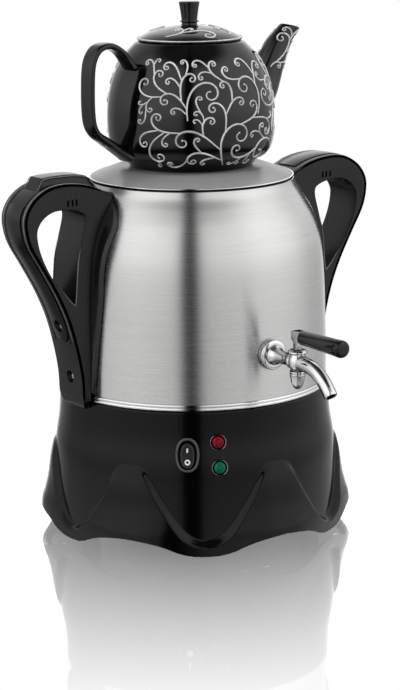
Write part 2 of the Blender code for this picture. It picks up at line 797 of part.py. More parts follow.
def make_switch(housing):
    wall = panel_radius(switch_height)
    seat = wall + clearance
    bezel = prism("switch_bezel", stadium(bezel_width, bezel_height), "y", -seat - bezel_stand, -seat, satin_black)
    bevelled(bezel, bezel_stand / 3, 1)
    tub = prism("switch_tub", rectangle(tub_width, tub_height), "y", -seat - bezel_stand / 2, -seat + tub_depth, None)
    combine(bezel, tub, "UNION")
    window_height = 2 * (rocker_radius + running_gap)
    window = prism("switch_window", stadium(window_width, window_height), "y", -seat - bezel_stand - overrun,
                   -seat + tub_depth - base_wall, None)
    combine(bezel, window, "DIFFERENCE")
    pivot = wall - rocker_pivot_depth
    pin_hole = lathe("rocker_pin_hole", bore_profile(-tub_width, 2 * tub_width, rocker_pin_radius + running_gap),
                     None, small_steps)
    pin_hole.data.transform(Matrix.Translation((0, -pivot, 0)) @ Matrix.Rotation(pi / 2, 4, "Y"))
    combine(bezel, pin_hole, "DIFFERENCE")
    opening = prism("switch_opening", rectangle(tub_width + 2 * clearance, tub_height + 2 * clearance), "y",
                    -wall - 2 * overrun, -wall + 2 * overrun, None)
    combine(housing, opening, "DIFFERENCE")
    rocker = make_rocker()
    pins = lathe("rocker_pins", bore_profile(-rocker_width / 2 - rocker_pin_length, rocker_width
                 + 2 * rocker_pin_length, rocker_pin_radius), None, small_steps)
    pins.data.transform(Matrix.Rotation(pi / 2, 4, "Y"))
    combine(rocker, pins, "UNION")
    for piece in (rocker, pins):
        piece.rotation_euler = (radians(rocker_tilt), 0, 0)
        piece.location = (0, -pivot, 0)
    turn = empty("switch_place", (0, 0, 0))
    carry(turn, rocker, pins)
    put_on_panel([bezel, tub, window, pin_hole, opening, turn], switch_angle, switch_height)


def make_rocker():
    """The rocker, round in front view at both ends; each slice across it is an arc about the pivot."""
    half = rocker_width / 2
    rings = []
    for share in rocker_slice_shares:
        swing = rocker_radius - half + half * sqrt(1 - share ** 2)
        corner = acos(rocker_front / swing)
        back = pi - acos(rocker_back / swing)
        arc = [(-swing * cos(angle), swing * sin(angle)) for angle in (mix(corner, back, step / 5) for step in range(6))]
        arc += [(first, -second) for first, second in reversed(arc)]
        arc.append((-rocker_front + rocker_dip, 0.0))
        rings.append([(share * half, first, second) for first, second in arc])
    return loft("switch_rocker", rings, satin_black)


def make_lamp(housing, name, angle, height, look):
    wall = panel_radius(height)
    seat = wall + clearance
    lens = lathe(name, [(0, -lamp_stem_length), (lamp_stem_radius, -lamp_stem_length), (lamp_stem_radius, 0),
                 (lamp_radius, 0), (lamp_radius, lamp_lip), (lamp_radius * 0.86, lamp_lip * 1.3),
                 (lamp_radius * 0.8, lamp_lip * 0.8), (lamp_radius * 0.66, mix(lamp_lip, lamp_rise, 0.6)),
                 (lamp_radius * 0.4, mix(lamp_lip, lamp_rise, 0.9)), (0, lamp_rise)], look, fine_steps)
    face_outwards(lens, seat)
    nut = lathe(name.replace("lens", "nut"), [(lamp_stem_radius + clearance, -lamp_nut_height),
                (lamp_nut_radius, -lamp_nut_height), (lamp_nut_radius, 0), (lamp_stem_radius + clearance, 0)],
                satin_black, small_steps)
    face_outwards(nut, inner_face(wall, lamp_nut_radius))
    hole = lathe(name + "_hole", bore_profile(-2 * overrun, 4 * overrun, lamp_stem_radius + clearance), None)
    face_outwards(hole, wall)
    combine(housing, hole, "DIFFERENCE")
    put_on_panel([lens, nut, hole], angle, height)


def inner_face(wall, half_width):
    """Where a flat piece meets the inside of the curved wall at its own edges."""
    inside = wall - base_wall
    return sqrt(inside * inside - half_width * half_width) - 2 * clearance - base_edge / 2


def make_inlet(housing):
    wall = panel_radius(inlet_height)
    face = wall + inlet_stand - inlet_recess
    back = wall - inlet_recess
    socket = prism("inlet_socket", rectangle(inlet_width, inlet_tall), "y", -face, -back, satin_black)
    bevelled(socket, inlet_stand / 4)
    body = prism("inlet_body", rectangle(inlet_body_width, inlet_body_tall), "y", -back - inlet_stand / 2,
                 -back + inlet_body_depth, None)
    combine(socket, body, "UNION")
    mouth = prism("inlet_mouth", inlet_outline(), "y", -face - overrun, -face + inlet_mouth_depth, None)
    combine(socket, mouth, "DIFFERENCE")
    recess = prism("inlet_recess", rectangle(inlet_width + 2 * clearance, inlet_tall + 2 * clearance), "y",
                   -wall - 2 * overrun, -back + clearance, None)
    combine(housing, recess, "DIFFERENCE")
    opening = prism("inlet_opening", rectangle(inlet_body_width + 2 * clearance, inlet_body_tall + 2 * clearance),
                    "y", -wall - 2 * overrun, -wall + 2 * overrun, None)
    combine(housing, opening, "DIFFERENCE")
    floor = -face + inlet_mouth_depth
    placed = [socket, body, mouth, recess, opening]
    for word, column, row in (("line", -1, -1), ("earth", 0, 1), ("neutral", 1, -1)):
        places = (column * inlet_pin_pitch, row * inlet_pin_drop)
        pin = prism("inlet_pin_" + word, rectangle(inlet_pin_width, inlet_pin_tall, *places), "y",
                    floor - inlet_pin_length, floor + inlet_pin_tail, brass)
        slot = prism("slot_" + word, rectangle(inlet_pin_width + 2 * clearance, inlet_pin_tall + 2 * clearance,
                     *places), "y", floor - overrun, floor + inlet_pin_tail, None)
        combine(socket, slot, "DIFFERENCE")
        placed += [pin, slot]
    put_on_panel(placed, inlet_angle, inlet_height)


def inlet_outline():
    """The mains inlet's mouth: a rectangle with its two upper corners cut off."""
    half = inlet_mouth_width / 2
    tall = inlet_mouth_tall / 2
    cut = inlet_mouth_tall * 0.3
    return [(-half, -tall), (half, -tall), (half, tall - cut), (half - cut, tall), (cut - half, tall),
            (-half, tall - cut)]


# Handles

handle_depth = handle_reach - urn_radius
handle_rise = handle_top - handle_foot


def handle_point(shares):
    return (urn_radius + shares[0] * handle_depth, handle_foot + shares[1] * handle_rise)


def handle_edge():
    return smooth_curve([handle_point(shares) for shares in handle_outline_shares], 2)


def mirrored(points, side):
    return [(side * point[0], point[1]) for point in points]


def saddle_outer_radius(height):
    return urn_outer_radius(height) + clearance + saddle_thickness


def strip_stations(start_share, end_share, trim=0.0):
    """Places along the handle's outer edge, each with its outward direction and distance run."""
    edge = handle_edge()
    lengths = [0.0]
    for before, after in zip(edge, edge[1:]):
        lengths.append(lengths[-1] + (after - before).length)
    start = start_share * lengths[-1] - trim
    end = end_share * lengths[-1] + trim
    kept = [start] + [length for length in lengths if start + handle_round < length < end - strip_width / 2]
    count = 6
    kept += [end - strip_width / 2 * cos(pi / 2 * step / count) for step in range(count)]
    kept.append(end - strip_width / 2 * sin(radians(2.0)) * 0.1)
    stations = []
    for length in kept:
        index = max(spot for spot in range(len(lengths) - 1) if lengths[spot] <= length)
        share = (length - lengths[index]) / (lengths[index + 1] - lengths[index])
        place = edge[index].lerp(edge[index + 1], share)
        stations.append((place, smooth_normal(edge, index, share), length, end))
    return stations


def smooth_normal(edge, index, share):
    """The outward direction of the edge, blended between its corners."""
    def at(spot):
        along = edge[min(spot + 1, len(edge) - 1)] - edge[max(spot - 1, 0)]
        return Vector((-along.y, along.x)).normalized()
    return at(index).lerp(at(index + 1), share).normalized()


def make_strip(name, side, start_share, look, spare=0.0):
    rings = []
    half = strip_width / 2
    proud = strip_proud + (overrun if spare else 0.0)
    for place, outward, length, end in strip_stations(start_share, strip_end_share, spare):
        left = max(half + spare - max(length - (end - half - spare), 0.0), 0.0)
        width = sqrt(max((half + spare) ** 2 - (half + spare - left) ** 2, (half * 0.05) ** 2))
        top = place + outward * proud
        low = place - outward * (strip_sink + spare)
        rings.append([(side * top[0], -width, top[1]), (side * top[0], width, top[1]),
                      (side * low[0], width, low[1]), (side * low[0], -width, low[1])])
    return loft(name, rings, look)


def make_saddle(name, side):
    """The pad between the urn and a handle, wide at the shoulder and narrow at the foot."""
    rings = []
    bends = [height for height in profile_heights() if saddle_foot < height < saddle_top]
    low_rows = [mix(saddle_foot, bends[0], 0.5)]
    for height in [saddle_foot, *low_rows, *bends, saddle_top]:
        level = (height - saddle_foot) / (saddle_top - saddle_foot)
        half = saddle_half_width * read_table(saddle_width_shares, level)
        inner = urn_outer_radius(height) + clearance
        reach = half / inner
        ring = []
        for column in range(saddle_columns + 1):
            share = 2 * column / saddle_columns - 1
            thick = mix(saddle_thickness, saddle_edge, max(abs(share) * half - handle_thickness / 2, 0.0)
                        / max(half - handle_thickness / 2, handle_round))
            ring.append(around_side(inner + thick, share * reach, height, side))
        for column in reversed(range(saddle_columns + 1)):
            share = 2 * column / saddle_columns - 1
            ring.append(around_side(inner, share * reach, height, side))
        rings.append(ring)
    return loft(name, rings, satin_black)


def around_side(radius, angle, height, side):
    return (side * radius * cos(angle), radius * sin(angle), height)


def edge_reach(height):
    """How far out the handle's outer edge is at a height on its lower half."""
    edge = [point for point in handle_edge() if point[1] < handle_foot + handle_rise * 0.75]
    for before, after in zip(edge, edge[1:]):
        if after[1] <= height <= before[1]:
            return mix(before[0], after[0], (height - before[1]) / (after[1] - before[1]))
    return edge[0][0]


def make_handle(side):
    word = "left" if side < 0 else "right"
    outline = [tuple(point) for point in handle_edge()]
    outline += [(handle_inner_reach, handle_foot), (handle_inner_reach, handle_point(handle_outline_shares[0])[1])]
    hole = [tuple(point) for point in smooth_curve([handle_point(shares) for shares in handle_hole_shares], 2, True)]
    frame = prism("handle_frame_" + word, mirrored(outline, side), "y", -handle_thickness / 2, handle_thickness / 2,
                  satin_black, holes=[mirrored(hole, side)], smooth_angle=30.0)
    bevelled(frame, handle_round, 1, 55.0)
    heights = [handle_foot - overrun, *profile_heights(), handle_top + overrun]
    profile = [(0, heights[0])] + [(saddle_outer_radius(height) + clearance, height) for height in heights]
    profile.append((0, heights[-1]))
    core = turn_about_axis("urn_space_" + word, profile, None, 2 * round_steps)
    combine(frame, core, "DIFFERENCE")
    start = strip_left_start_share if side < 0 else strip_start_share
    channel = make_strip("strip_channel_" + word, side, start, None, clearance)
    combine(frame, channel, "DIFFERENCE")
    strip = make_strip("handle_cover_" + word, side, start, satin_black)
    make_saddle("handle_saddle_" + word, side)
    for height, carrier in zip(handle_screw_heights, (strip, frame)):
        surface = edge_reach(height) + (strip_proud if carrier is strip else 0.0)
        recess_floor = surface - handle_recess_depth
        recess = lathe("screw_recess_%s_%d" % (word, round(height / clearance)),
                       bore_profile(recess_floor, handle_recess_depth + overrun, handle_recess_radius), None)
        length = screw_reach(height, recess_floor)
        bore = lathe("screw_bore_%s_%d" % (word, round(height / clearance)),
                     bore_profile(recess_floor - length - clearance, length + overrun,
                                  handle_screw_shank_radius + clearance), None, tiny_steps)
        for cutter in (recess, bore):
            cutter.data.transform(side_matrix(side, height))
            combine(frame, cutter, "DIFFERENCE")
            if carrier is strip:
                combine(strip, cutter, "DIFFERENCE")
    return frame


def screw_reach(height, seat):
    """A handle screw's length under its head, which ends short of the saddle."""
    return min(handle_screw_length, seat - saddle_outer_radius(height) - 3 * clearance)


def side_matrix(side, height):
    """Turn a piece made about Z so that its height runs outwards along X."""
    return Matrix.Translation((0, 0, height)) @ Matrix.Rotation(side * pi / 2, 4, "Y")


def make_handle_screws():
    for height, word, proud in zip(handle_screw_heights, ("upper", "lower"), (strip_proud, 0.0)):
        seat = edge_reach(height) + proud - handle_recess_depth + clearance
        length = screw_reach(height, seat - clearance)
        profile = [(0, seat - length), (handle_screw_shank_radius, seat - length),
                   (handle_screw_shank_radius, seat), (handle_screw_head_radius, seat),
                   (handle_screw_head_radius, seat + handle_screw_head_height * 0.5),
                   (handle_screw_head_radius * 0.6, seat + handle_screw_head_height),
                   (0, seat + handle_screw_head_height)]
        for side, name in ((-1, "left"), (1, "right")):
            screw = lathe("handle_screw_%s_%s" % (word, name), profile, polished_chrome, tiny_steps)
            screw.data.transform(side_matrix(side, height))


def make_button(frame):
    """The push button: its foot slides in a pocket in the top of the left handle."""
    side = -1
    rings = []
    for place, rise in button_rise_shares:
        reach = mix(button_start, button_end, place)
        top = mix(button_foot, button_top, rise)
        shoulder = mix(button_foot, top, button_shoulder_share)
        half = button_half_width
        rings.append([(side * reach, -half, button_foot), (side * reach, -half, shoulder),
                      (side * reach, button_edge - half, top), (side * reach, half - button_edge, top),
                      (side * reach, half, shoulder), (side * reach, half, button_foot)])
    button = loft("lid_release_button", rings, satin_black, smooth_angle=25.0)
    middle = side * (button_start + button_end) / 2
    button.data.transform(Matrix.Translation((-middle, 0, -button_foot)))
    button.location = (middle, 0, button_foot)
    length = button_end - button_start + 2 * running_gap
    width = 2 * (button_half_width + running_gap)
    pocket = prism("button_pocket", rectangle(length, width, middle), "z",
                   button_foot - button_travel - running_gap, handle_top + overrun, None)
    combine(frame, pocket, "DIFFERENCE")


# Tap

def make_tap():
    wall = urn_outer_radius(tap_height)
    gasket_seat = wall + clearance
    flange_seat = gasket_seat + tap_gasket_thickness + clearance
    flange_face = flange_seat + tap_flange_thickness
    shank_hole = tap_shank_radius + clearance
    gasket = lathe("tap_outer_gasket", ring_profile(gasket_seat, tap_gasket_thickness, shank_hole, tap_gasket_radius),
                   clear_silicone, fine_steps)
    flange = lathe("tap_flange", [(shank_hole, flange_seat), (tap_flange_radius, flange_seat),
                   (tap_flange_radius, flange_face - tap_flange_round), (tap_flange_radius - tap_flange_round,
                   flange_face), (shank_hole, flange_face)], polished_chrome, fine_steps)
    inner_wall = sqrt((wall - urn_wall) ** 2 - tap_nut_radius ** 2)
    washer_outer = inner_wall - 2 * clearance
    washer = lathe("tap_inner_washer", ring_profile(washer_outer - tap_gasket_thickness, tap_gasket_thickness,
                   shank_hole, tap_nut_radius), clear_silicone, fine_steps)
    nut_outer = washer_outer - tap_gasket_thickness - clearance
    nut = prism("tap_nut", circle(tap_nut_radius, 6), "z", nut_outer - tap_nut_thickness, nut_outer, brass,
                holes=[circle(shank_hole, small_steps)])
    collar = flange_face + clearance
    ball_start = tap_ball_reach - sqrt(tap_ball_radius ** 2 - tap_neck_radius ** 2)
    profile = [(0, tap_inner_reach), (tap_shank_radius, tap_inner_reach), (tap_shank_radius, collar),
               (tap_collar_radius, collar), (tap_collar_radius * 0.92, collar + tap_cone_length * 0.25),
               (tap_collar_radius * 0.7, collar + tap_cone_length), (tap_neck_radius, collar + tap_neck_length)]
    first = acos((tap_ball_reach - ball_start) / tap_ball_radius)
    for step in range(1, 7):
        angle = mix(first, pi * 0.8, step / 6)
        profile.append((tap_ball_radius * sin(angle), tap_ball_reach - tap_ball_radius * cos(angle)))
    profile.append((0, profile[-1][1]))
    body = lathe("tap_body", profile, polished_chrome, fine_steps)
    for piece in (gasket, flange, washer, nut, body):
        piece.data.transform(Matrix.Translation((0, 0, tap_height)) @ Matrix.Rotation(pi / 2, 4, "X"))
    axis = (0, -tap_axis_reach, 0)
    low = tap_height - tap_barrel_drop
    high = tap_height + tap_barrel_rise
    barrel = lathe("tap_barrel", [(0, low), (cap_radius, low), (tap_barrel_radius, mix(low, high, 0.2)),
                   (tap_barrel_radius, mix(low, high, 0.85)), (tap_barrel_radius * 0.95, high), (0, high)], None, fine_steps)
    barrel.location = axis
    combine(body, barrel, "UNION")
    combine(body, make_spout("tap_spout", 0.0), "UNION")
    water = lathe("tap_waterway", bore_profile(tap_inner_reach - overrun, tap_axis_reach - tap_inner_reach
                  + overrun, waterway_radius), None)
    water.data.transform(Matrix.Translation((0, 0, tap_height)) @ Matrix.Rotation(pi / 2, 4, "X"))
    combine(body, water, "DIFFERENCE")
    combine(body, make_spout("spout_bore", spout_wall), "DIFFERENCE")
    seat = lathe("plug_seat", plug_profile(low - overrun, high + overrun, running_gap), None, fine_steps)
    seat.location = axis
    combine(body, seat, "DIFFERENCE")
    make_valve(low, high, axis)


def ring_profile(start, thickness, inner, outer):
    return [(inner, start), (outer, start), (outer, start + thickness), (inner, start + thickness)]


def plug_profile(low, high, spare):
    """A tapered plug; the spare widens it to its seat."""
    slope = (plug_top_radius - plug_bottom_radius) / (tap_barrel_rise + tap_barrel_drop)
    middle = (plug_top_radius + plug_bottom_radius) / 2
    return [(0, low), (middle + slope * (low - tap_height) + spare, low),
            (middle + slope * (high - tap_height) + spare, high), (0, high)]


def make_spout(name, wall):
    """The outlet pipe, curving from level to nearly straight down; a wall makes it the bore."""
    path = smooth_curve([(tap_axis_reach + reach * spout_reach, tap_height - drop * spout_drop)
                         for reach, drop in spout_path_shares], 1)
    extra = path[-1] + (path[-1] - path[-2]).normalized() * overrun
    if wall:
        path = path + [extra]
    rings = []
    for index, point in enumerate(path):
        along = (path[min(index + 1, len(path) - 1)] - path[max(index - 1, 0)]).normalized()
        radius = mix(spout_root_radius, spout_mouth_radius, index / (len(path) - 1)) - wall
        rings.append([(radius * sin(2 * pi * step / small_steps),
                       -point.x + along.y * radius * cos(2 * pi * step / small_steps),
                       point.y + along.x * radius * cos(2 * pi * step / small_steps)) for step in range(small_steps)])
    return loft(name, rings, None)


def make_valve(low, high, axis):
    """Bonnet, lower cap, and the turning pieces: plug, lever and grip."""
    bonnet_foot = high + clearance
    bonnet_top = bonnet_foot + bonnet_thickness
    bonnet = lathe("tap_bonnet", [(plug_stem_radius + running_gap, bonnet_foot), (bonnet_radius * 0.9, bonnet_foot),
                   (bonnet_radius, bonnet_foot + bonnet_thickness * 0.25),
                   (bonnet_radius, bonnet_foot + bonnet_thickness * 0.6), (bonnet_radius * 0.75, bonnet_top),
                   (plug_stem_radius + running_gap, bonnet_top)], polished_chrome, fine_steps)
    cap_top = low - clearance
    cap_foot = cap_top - cap_length
    cap = lathe("tap_cap", [(0, cap_foot), (cap_tip_radius, cap_foot), (cap_tip_radius * 2, cap_foot + cap_collar),
                (cap_radius * 0.85, cap_top - 2.4 * cap_collar), (cap_radius, cap_top - 2 * cap_collar),
                (cap_radius, cap_top - 1.2 * cap_collar), (cap_radius * 0.88, cap_top - cap_collar),
                (cap_radius, cap_top - 0.8 * cap_collar), (cap_radius, cap_top), (0, cap_top)], polished_chrome, fine_steps)
    for piece in (bonnet, cap):
        piece.location = axis
    pivot = empty("tap_pivot", (0, -tap_axis_reach, tap_height))
    stem_top = lever_height
    plug_top = high
    slim = plug_profile(low, plug_top, 0.0)
    plug = lathe("tap_plug", slim[:3] + [(plug_stem_radius, plug_top), (plug_stem_radius, stem_top), (0, stem_top)],
                 brass, fine_steps)
    plug.location = axis
    port = lathe("plug_port", bore_profile(-bonnet_radius, 2 * bonnet_radius, plug_port_radius), None, small_steps)
    port.data.transform(Matrix.Rotation(pi / 2, 4, "Y"))
    port.location = (0, -tap_axis_reach, tap_height)
    combine(plug, port, "DIFFERENCE")
    outline = []
    for reach, rise in lever_side_shares:
        along = tap_axis_reach + reach * (lever_front if reach > 0 else lever_back)
        outline.append((-along, lever_height + rise * (lever_rise if rise > 0 else lever_drop)))
    lever = prism("tap_lever", outline, "x", -lever_width / 2, lever_width / 2, polished_chrome)
    bevelled(lever, lever_round)
    tang_start = tap_axis_reach + lever_front
    tang = lathe("lever_tang", bore_profile(tang_start - lever_front / 2, tang_length + lever_front / 2, tang_radius),
                 None)
    stem_hole = lathe("lever_stem_hole", bore_profile(bonnet_top, stem_top - bonnet_top + clearance,
                      plug_stem_radius + clearance), None)
    stem_hole.location = axis
    grip_start = tang_start + clearance
    grip_end = grip_start + grip_length
    grip = lathe("tap_grip", [(tang_radius + clearance, grip_start), (grip_root_radius - grip_round / 2, grip_start),
                 (grip_root_radius, grip_start + grip_round), (grip_end_radius, grip_end - grip_round),
                 (grip_end_radius - grip_round, grip_end), (0, grip_end), (0, grip_start + tang_length + clearance),
                 (tang_radius + clearance, grip_start + tang_length + clearance)], satin_black, fine_steps)
    for piece in (tang, grip):
        piece.data.transform(Matrix.Translation((0, 0, lever_height)) @ Matrix.Rotation(pi / 2, 4, "X"))
    combine(lever, tang, "UNION")
    combine(lever, stem_hole, "DIFFERENCE")
    carry(pivot, plug, port, lever, tang, stem_hole, grip)


# Teapot

def pot_outer():
    return [(radius * pot_radius, pot_foot_height + level * pot_height) for level, radius in pot_profile_shares]


def make_teapot():
    outer = pot_outer()
    top = outer[-1][1]
    profile = [(0, pot_foot_height + pot_foot_rise), (pot_foot_inner_radius, pot_foot_height + pot_foot_rise),
               (pot_foot_inner_radius, pot_foot_height)] + outer + [(0, top)]
    body = turn_about_axis("teapot_body", profile, black_ceramic, pot_steps)
    combine(body, make_pot_handle(), "UNION")
    combine(body, make_pot_spout("pot_spout", 1.0, 0.0), "UNION")
    lowest = pot_foot_height + pot_foot_rise + pot_wall
    inner = [(radius - pot_wall, height) for radius, height in outer[:-1]
             if height > lowest + pot_wall / 2 and radius - pot_wall > pot_mouth_radius]
    cavity = [(0, lowest), (inner[0][0] * 0.93, lowest)] + inner
    cavity += [(pot_mouth_radius, top - pot_wall), (pot_mouth_radius, top + overrun), (0, top + overrun)]
    combine(body, turn_about_axis("pot_cavity", cavity, None, pot_steps), "DIFFERENCE")
    combine(body, make_pot_spout("pot_spout_bore", 1.0 - pot_spout_wall_share, overrun), "DIFFERENCE")
    return body


def make_pot_handle():
    """A flat strap bent into a loop, thicker where it meets the pot low down."""
    path = smooth_curve([(reach * -pot_handle_reach, pot_foot_height + rise * pot_height)
                         for reach, rise in pot_handle_path_shares], 2)
    rings = []
    for index, point in enumerate(path):
        along = (path[min(index + 1, len(path) - 1)] - path[max(index - 1, 0)]).normalized()
        outward = Vector((-along.y, along.x))
        low_down = max(index / (len(path) - 1) - 0.75, 0.0) * 4
        half = mix(pot_handle_thickness, pot_handle_root, low_down) / 2
        wide = pot_handle_width / 2
        section = ((-wide, -0.45), (-wide, 0.45), (-0.72 * wide, 1.0), (0.72 * wide, 1.0), (wide, 0.45),
                   (wide, -0.45), (0.72 * wide, -1.0), (-0.72 * wide, -1.0))
        rings.append([(point.x + outward.x * half * level, across, point.y + outward.y * half * level)
                      for across, level in section])
    return loft("pot_handle", rings, None)


def make_pot_spout(name, thickness, extra):
    """The tapered spout; its last ring lies nearly level, as the cut mouth does."""
    path = [Vector((reach * pot_spout_reach, pot_foot_height + rise * pot_spout_top))
            for reach, rise in pot_spout_path_shares]
    rings = []
    for index, (point, share) in enumerate(zip(path, pot_spout_radius_shares)):
        along = (path[min(index + 1, len(path) - 1)] - path[max(index - 1, 0)]).normalized()
        level = index / (len(path) - 1)
        along = along.lerp(Vector((0.25, 1.0)).normalized(), level ** 2).normalized()
        radius = pot_spout_root_radius * share
        radius = radius * thickness
        rings.append([(point.x + along.y * radius * cos(2 * pi * step / small_steps),
                       radius * sin(2 * pi * step / small_steps),
                       point.y - along.x * radius * cos(2 * pi * step / small_steps)) for step in range(small_steps)])
    if extra:
        rings.append([(x, y, z + extra) for x, y, z in rings[-1]])
    return loft(name, rings, None)


def make_teapot_lid():
    seat = pot_foot_height + pot_height + clearance
    rim_top = seat + pot_lid_rim
    crown = rim_top + pot_lid_rise
    skirt = pot_mouth_radius - running_gap - clearance
    dome = [(radius * pot_lid_radius, mix(rim_top, crown, rise)) for radius, rise in pot_lid_profile_shares]
    knob = [(mix(knob_waist_radius, knob_ring_radius, swell), crown + level * knob_height)
            for level, swell in knob_shares]
    top = crown + knob_height
    edge = pot_lid_rim * 0.6
    profile = [(pot_lid_radius, seat)] + dome + knob
    profile += [(knob_radius, top - 2 * edge), (knob_radius * 0.97, top - edge), (knob_radius * 0.8, top), (0, top),
                (0, crown - pot_lid_wall), (skirt * 0.6, mix(rim_top, crown, 0.45) - pot_lid_wall / 2),
                (skirt - pot_lid_wall, seat - pot_lid_wall * 0.5), (skirt - pot_lid_wall, seat - pot_lid_skirt),
                (skirt, seat - pot_lid_skirt), (skirt, seat)]
    return turn_about_axis("teapot_lid", profile, black_ceramic, pot_steps)


housing = make_base_housing()
make_bottom_cover()
make_feet_and_screws()
make_urn()
make_trim_ring()
urn_lid = make_urn_lid()
make_heater()
make_tie_rod()
make_terminal_block()
make_switch(housing)
make_lamp(housing, "red_lamp_lens", red_lamp_angle, red_lamp_height, red_plastic)
make_lamp(housing, "green_lamp_lens", green_lamp_angle, green_lamp_height, green_plastic)
make_inlet(housing)
left_frame = make_handle(-1)
make_handle(1)
make_handle_screws()
make_button(left_frame)
make_tap()
teapot = make_teapot()
teapot_lid = make_teapot_lid()
carry(urn_lid, teapot)
carry(teapot, teapot_lid)

# The origin on the table is the middle of the part's whole footprint, so everything stands behind the urn's axis
front_reach = tap_axis_reach + lever_front + clearance + grip_length
footprint = empty("footprint", (0, 0, 0))
carry(footprint, *[thing for thing in bpy.context.scene.objects if thing.parent is None and thing != footprint])
footprint.location = (0, (front_reach - petal_reach) / 2, 0)
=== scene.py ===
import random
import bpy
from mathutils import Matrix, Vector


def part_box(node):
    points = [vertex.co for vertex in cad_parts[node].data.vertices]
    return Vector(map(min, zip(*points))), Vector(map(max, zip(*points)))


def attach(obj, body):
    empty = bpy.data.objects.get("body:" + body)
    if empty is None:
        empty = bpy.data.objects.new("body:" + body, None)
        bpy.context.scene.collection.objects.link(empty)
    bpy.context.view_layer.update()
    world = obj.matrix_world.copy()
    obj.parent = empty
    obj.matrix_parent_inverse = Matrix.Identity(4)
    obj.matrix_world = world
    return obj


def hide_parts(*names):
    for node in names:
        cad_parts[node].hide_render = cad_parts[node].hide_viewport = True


bl_info = {
    "name": "Tea urn with teapot",
    "version": (1, 0, 0),
    "blender": (4, 5, 0),
    "location": "3D View > Sidebar > Tea urn",
    "description": "Builds the finished pieces of an electric tea urn and its teapot on their packed model",
    "category": "Add Mesh",
}

from math import asin, atan2, copysign, cos, pi, radians, sin, sqrt

import bmesh
import bpy
from bpy.props import FloatProperty, FloatVectorProperty, IntProperty, PointerProperty
from mathutils import Matrix, Vector

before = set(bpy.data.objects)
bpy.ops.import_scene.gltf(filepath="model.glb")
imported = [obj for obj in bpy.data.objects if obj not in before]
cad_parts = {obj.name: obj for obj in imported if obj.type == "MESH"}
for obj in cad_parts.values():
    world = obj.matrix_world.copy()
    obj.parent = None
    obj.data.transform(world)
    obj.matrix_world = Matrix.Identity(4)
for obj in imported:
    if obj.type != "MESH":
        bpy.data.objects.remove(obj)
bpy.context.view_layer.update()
urn_low, urn_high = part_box("urn_shell")
axis_place = Vector(((urn_low.x + urn_high.x) / 2, (urn_low.y + urn_high.y) / 2, 0.0))


# What a user would change

def length(name, description, default):
    return FloatProperty(name=name, description=description, default=default, min=0.0, unit="LENGTH",
                         precision=5)


def turn(name, description, default):
    return FloatProperty(name=name, description=description, default=radians(default), subtype="ANGLE")


def colour(name, description, default):
    return FloatVectorProperty(name=name, description=description, default=default, size=3, min=0.0, max=1.0,
                               subtype="COLOR")


def amount(name, description, default):
    return FloatProperty(name=name, description=description, default=default, min=0.0)


class BaseSizes(bpy.types.PropertyGroup):
    petals: IntProperty(name="Petals", description="Petals round the base housing", default=6, min=1)
    height: length("Height", "Top of the base housing", 0.119)
    top_radius: length("Top radius", "Radius under the urn", 0.112)
    foot_radius: length("Foot radius", "Radius of the plain core at its foot", 0.119)
    petal_reach: length("Petal reach", "Largest radius of a petal", 0.13)
    foot_reach: length("Foot reach", "Largest radius between two petals", 0.124)
    peak_height: length("Peak height", "Top of each petal's ridge", 0.075)
    valley_height: length("Valley height", "Ridge between two petals", 0.016)
    arch_height: length("Arch height", "Lower edge in the middle of a petal", 0.017)
    tip_height: length("Tip height", "Lower edge between two petals", 0.0035)
    ridge_width: length("Ridge width", "How far out from its line the ridge rounds over", 0.006)
    wall: length("Wall", "Thickness of the moulding", 0.0025)
    look: colour("Colour", "Gloss black moulding", (0.001, 0.001, 0.00105))


class UrnSizes(bpy.types.PropertyGroup):
    radius: length("Radius", "Radius of the urn's side", 0.11)
    wall: length("Wall", "Thickness of the steel sheet", 0.001)
    lip: length("Lip", "Height of the urn's lip", 0.2895)
    seat: length("Teapot seat", "Height of the flat middle of the lid", 0.2997)
    look: colour("Colour", "Brushed stainless steel", (0.6, 0.598, 0.592))


class HandleSizes(bpy.types.PropertyGroup):
    thickness: length("Thickness", "Across a handle", 0.037)
    rounding: length("Rounding", "Radius of a handle's long edges", 0.0009)
    groove: length("Groove", "Depth of the line along a handle's face", 0.0012)
    look: colour("Colour", "Satin black moulding", (0.003, 0.003, 0.0031))


class TapSizes(bpy.types.PropertyGroup):
    height: length("Height", "Height of the tap's neck", 0.1605)
    reach: length("Reach", "From the urn's axis to the plug's axis", 0.145)
    lever_height: length("Lever height", "Height of the lever's grip", 0.181)
    look: colour("Colour", "Polished chrome", (0.74, 0.74, 0.75))


class PotSizes(bpy.types.PropertyGroup):
    foot: length("Foot", "Height of the teapot's foot", 0.3)
    height: length("Height", "Teapot's foot to its mouth", 0.1005)
    radius: length("Radius", "Widest radius of the teapot", 0.068)
    wire: length("Line", "Half the width of the scrollwork's thickest line", 0.00078)
    scrolls: IntProperty(name="Scrolls", description="Tries at placing a scroll", default=3000, min=1)
    look: colour("Glaze", "Black glaze", (0.0012, 0.0012, 0.00125))
    silver: colour("Silver", "Silver lines on the glaze", (0.66, 0.66, 0.65))


class StageSizes(bpy.types.PropertyGroup):
    azimuth: turn("Azimuth", "Camera's direction, from the tap's side", -34.0)
    elevation: turn("Elevation", "Camera's height angle", 12.839)
    roll: turn("Roll", "Camera's roll", -0.707)
    distance: length("Distance", "From the camera to the urn's axis", 1.830097)
    side: length("Side step", "Camera's step to its right", 0.005323)
    target: length("Target", "Height that the camera looks at", 0.147841)
    lens: amount("Lens", "Focal length in mm", 114.66)
    key: amount("Lamps", "Strength of the soft lamps", 1.0)


# Sums written on node sockets

